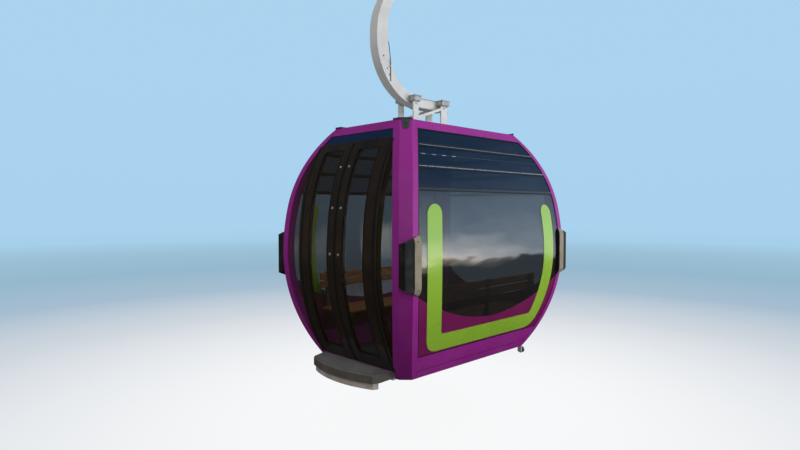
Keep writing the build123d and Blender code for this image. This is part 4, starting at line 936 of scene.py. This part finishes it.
# Inside: mat ribs, bench screws and the ceiling lamp
MAT_RIBS, MAT_RIB, MAT_Y, MAT_LOW, MAT_TOP = (-0.42, 0.42, 15), 0.004, 0.78, -4.101, -4.0975
SEAT_Z, BACK_X = -3.7005, 0.7202
LAMP_FRAME, LAMP = (0.060, 0.46, -2.012, -2.000), (0.048, 0.445, -2.017, -2.010)
BENCH_ROWS, BACK_SCREWS = (-0.7002, 0, 0.7002), (-3.477, -3.399)
SEAT_SCREWS = (0.3694, 0.4654, 0.5614, 0.6574)
bm = bmesh.new()
for x in spread(*MAT_RIBS):
    slab(bm, x, 0, MAT_RIB, MAT_Y, MAT_LOW, MAT_TOP)
piece("mat_ribs", bm, "floor_mat")
bm = bmesh.new()
for sign in BOTH:
    for y in BENCH_ROWS:
        for x in SEAT_SCREWS:
            screw(bm, (sign * x, y, SEAT_Z), UP)
        for z in BACK_SCREWS:
            screw(bm, (sign * BACK_X, y, z), (-sign, 0, 0))
piece("bench_screws", bm, "zinc")
bm = bmesh.new()
slab(bm, 0, 0, *LAMP_FRAME, 0.004, 2)
piece("lamp_frame", bm, "bench_frame")
bm = bmesh.new()
slab(bm, 0, 0, *LAMP, 0.003, 2)
piece("ceiling_lamp", bm, "lamp")

# Underside: a row of bolts on each floor beam, and covers between the beams
BEAMS, BEAM_UNDER, BEAM_BOLTS = (-0.33, 0, 0.33), -4.200, (-0.76, -0.38, 0, 0.38, 0.76)
BEAM_BOLT_SIZE = (0.010, 0.008)
COVER_X, COVER_Y, COVER_HALF, COVER_LOW, COVER_TOP = 0.165, 0.40, (0.10, 0.30), -4.154, -4.149
bm = bmesh.new()
for x in BEAMS:
    for y in BEAM_BOLTS:
        bolt(bm, (x, y, BEAM_UNDER), DOWN, *BEAM_BOLT_SIZE)
piece("beam_bolts", bm, "zinc")
bm = bmesh.new()
for x, y in CORNERS:
    slab(bm, x * COVER_X, y * COVER_Y, *COVER_HALF, COVER_LOW, COVER_TOP, 0.0015)
piece("floor_covers", bm, "galvanised_dark")


# Camera and lamps

def aim(thing, location, direction):
    """Put a camera or lamp in its place and point it."""
    thing.location = location
    thing.rotation_mode = "QUATERNION"
    thing.rotation_quaternion = Vector(direction).to_track_quat("-Z", "Y")


CAMERA_PLACE, CAMERA_AIM = (3.802, -4.122, -2.700), (-0.71346, 0.69998, -0.03166)
SENSOR, LENS, FAR_END = 36, 24.93, 500
camera_data = bpy.data.cameras.new("camera")
camera = place("camera", camera_data)
aim(camera, CAMERA_PLACE, CAMERA_AIM)
camera_data.sensor_width, camera_data.lens, camera_data.clip_end = SENSOR, LENS, FAR_END
bpy.context.scene.camera = camera

# Soft square lamps: place, target, size and power
LAMPS = {
    "key_light": ((7.5, 3.5, 2.5), (0, 0, -3.0), 4.0, 340),
    "low_light": ((7.6, 4.2, -3.7), (0.9, 0, -3.9), 2.6, 300),
    "fill_light": ((-2.0, -8.0, 0.5), (0, 0, -3.0), 5.0, 12),
    "arm_light": ((-1.0, -4.6, -0.3), (0, -0.5, -1.1), 1.5, 48),
    "back_light": ((-5.0, 5.0, 2.0), (0, 0, -3.0), 4.0, 120),
    "cabin_light": ((0, 0, -2.03), (0, 0, -4.1), 0.5, 6),
}
for name, (location, target, size, power) in LAMPS.items():
    data = bpy.data.lights.new(name, "AREA")
    data.shape, data.size, data.energy = "SQUARE", size, power
    lamp = place(name, data)
    lamp.visible_glossy = False
    aim(lamp, location, Vector(target) - Vector(location))

# Floor: pale to the camera, turning to the sky's colour with distance; it throws little light back
FLOOR_Z, FLOOR_RADIUS = -4.75, 160.0
GROUND, LAND, SKY = (0.96, 0.965, 0.97), (0.16, 0.155, 0.15), (0.395, 0.645, 0.860)
FADE_MOST, FADE_START, FADE_END = 0.60, 1.6, 5.0
DISTANCE = [(3.2, (1.0, 1.0, 1.0)), (5.0, (0.93, 0.935, 0.945)), (7.5, (0.63, 0.68, 0.735)),
            (10.5, (0.38, 0.51, 0.63)), (15.0, (0.30, 0.48, 0.61)), (22.0, (0.33, 0.53, 0.67)),
            (32.0, (0.38, 0.62, 0.82)), (50.0, SKY)]


def seen_or_through(tree):
    """1 for rays that the camera sends, also through glass."""
    paths = node(tree, "LightPath").outputs
    return maths(tree, "Math", "MAXIMUM", paths["Is Camera Ray"], paths["Is Transmission Ray"])


def ramp_of(tree, value, low, high, stops):
    """A colour ramp laid along a value between low and high."""
    ramp = node(tree, "ValToRGB", {"Fac": remap(tree, value, 0.0, 1.0, low, high)})
    elements = ramp.color_ramp.elements
    while len(elements) > 1:
        elements.remove(elements[-1])
    for index, (stop, colour) in enumerate(stops):
        spot = (stop - low) / (high - low)
        element = elements[0] if index == 0 else elements.new(spot)
        element.position, element.color = spot, (*colour, 1)
    return ramp.outputs["Color"]


bm = bmesh.new()
bmesh.ops.create_circle(bm, cap_ends=True, segments=96, radius=FLOOR_RADIUS,
                        matrix=Matrix.Translation((0, 0, FLOOR_Z)))
ground = place("ground", mesh_from("ground", bm))
snow = material("ground", GROUND, 0.9, 0.01, 0.2, (40, 0.0))
ground.data.materials.append(snow)
tree = snow.node_tree
shader = tree.nodes["Principled BSDF"]
seen = seen_or_through(tree)
far = maths(tree, "VectorMath", "LENGTH", node(tree, "TexCoord").outputs["Object"])
feed(tree, shader.inputs, {"Base Color": blend_colours(tree, seen, LAND, GROUND)})
fade = maths(tree, "Math", "MULTIPLY", remap(tree, far, FADE_MOST, 1.0, FADE_START, FADE_END), seen)
glow = node(tree, "Emission", {"Color": ramp_of(tree, far, 0.0, 50.0, DISTANCE)})
floor_look = mix_shaders(tree, fade, shader.outputs["BSDF"], glow.outputs["Emission"])
# Clear to mirrored rays: what glass and paint mirror lies beyond the floor
floor_look = mix_shaders(tree, node(tree, "LightPath").outputs["Is Glossy Ray"], floor_look,
                         node(tree, "BsdfTransparent").outputs["BSDF"])
feed(tree, tree.nodes["Material Output"].inputs, {"Surface": floor_look})

# Surroundings: the camera sees a pale sky, glass mirrors dusk, and the object gets light from all round
PALE_SKY = [(-1.0, SKY), (0.0, SKY), (0.20, (0.405, 0.655, 0.870)), (1.0, (0.42, 0.65, 0.85))]
EVENING = [(-1.0, (0.006, 0.005, 0.005)), (-0.40, (0.010, 0.009, 0.008)), (-0.16, (0.022, 0.019, 0.017)),
           (-0.01, (0.024, 0.023, 0.024)), (0.01, (0.46, 0.50, 0.55)), (0.08, (0.31, 0.37, 0.44)),
           (0.25, (0.175, 0.235, 0.315)), (0.45, (0.105, 0.145, 0.205)), (0.58, (0.050, 0.072, 0.110)),
           (0.80, (0.022, 0.034, 0.060)), (1.0, (0.015, 0.024, 0.045))]
LOW_SUN = [(-0.06, (0, 0, 0)), (0.0, (1.0, 0.86, 0.68)), (0.035, (0.62, 0.57, 0.50)), (0.14, (0, 0, 0))]
DARK_SIDE = [(-1.0, (0.006, 0.005, 0.004)), (-0.05, (0.012, 0.010, 0.008)), (0.02, (0.030, 0.024, 0.017)),
             (0.25, (0.024, 0.021, 0.018)), (0.60, (0.014, 0.015, 0.018)), (1.0, (0.012, 0.014, 0.018))]
HORIZON_LOW, HORIZON_HIGH = -0.145, -0.055  # the mirrored land's ragged edge, as a ray's rise
MIRROR_STRENGTH = 3.0
SHADE_SIDE, LIT_SIDE = ((0.90, 0.94, 1.0), 0.30), ((1.0, 0.99, 0.97), 1.0)

world = bpy.data.worlds.new("surroundings")
bpy.context.scene.world = world
world.use_nodes = True
tree = world.node_tree
tree.nodes.clear()
direction = node(tree, "TexCoord").outputs["Generated"]
rise = node(tree, "SeparateXYZ", {"Vector": direction}).outputs["Z"]
ragged = remap(tree, noise_at(tree, direction, 26.0, 8.0, (1, 1, 0.6)), HORIZON_LOW, HORIZON_HIGH, 0.25, 0.75)
above_land = maths(tree, "Math", "SUBTRACT", rise, ragged)


def towards(x, y, low, high):
    """0 to 1 by how far a ray points to one side."""
    aligned = maths(tree, "VectorMath", "DOT_PRODUCT", direction, (x, y, 0))
    return remap(tree, aligned, 0.0, 1.0, low, high)


def background(colour, strength):
    """A background of one colour or of a ramp."""
    return node(tree, "Background", {"Color": colour, "Strength": strength}).outputs["Background"]


evening, low_sun, dark_side = (ramp_of(tree, above_land, -1.0, 1.0, stops)
                               for stops in (EVENING, LOW_SUN, DARK_SIDE))
evening = blend_colours(tree, towards(0.755, 0.655, 0.955, 0.995), evening, low_sun, "ADD")
dusk = background(blend_colours(tree, towards(0.707, 0.707, -0.25, 0.55), dark_side, evening),
                  MIRROR_STRENGTH)
around = mix_shaders(tree, towards(0.87, 0.50, -0.9, 0.6), background(*SHADE_SIDE), background(*LIT_SIDE))
unseen = mix_shaders(tree, node(tree, "LightPath").outputs["Is Glossy Ray"], around, dusk)
pale = background(ramp_of(tree, rise, -1.0, 1.0, PALE_SKY), 1.0)
node(tree, "OutputWorld", {"Surface": mix_shaders(tree, seen_or_through(tree), unseen, pale)})

bpy.context.scene.view_settings.view_transform = "Standard"
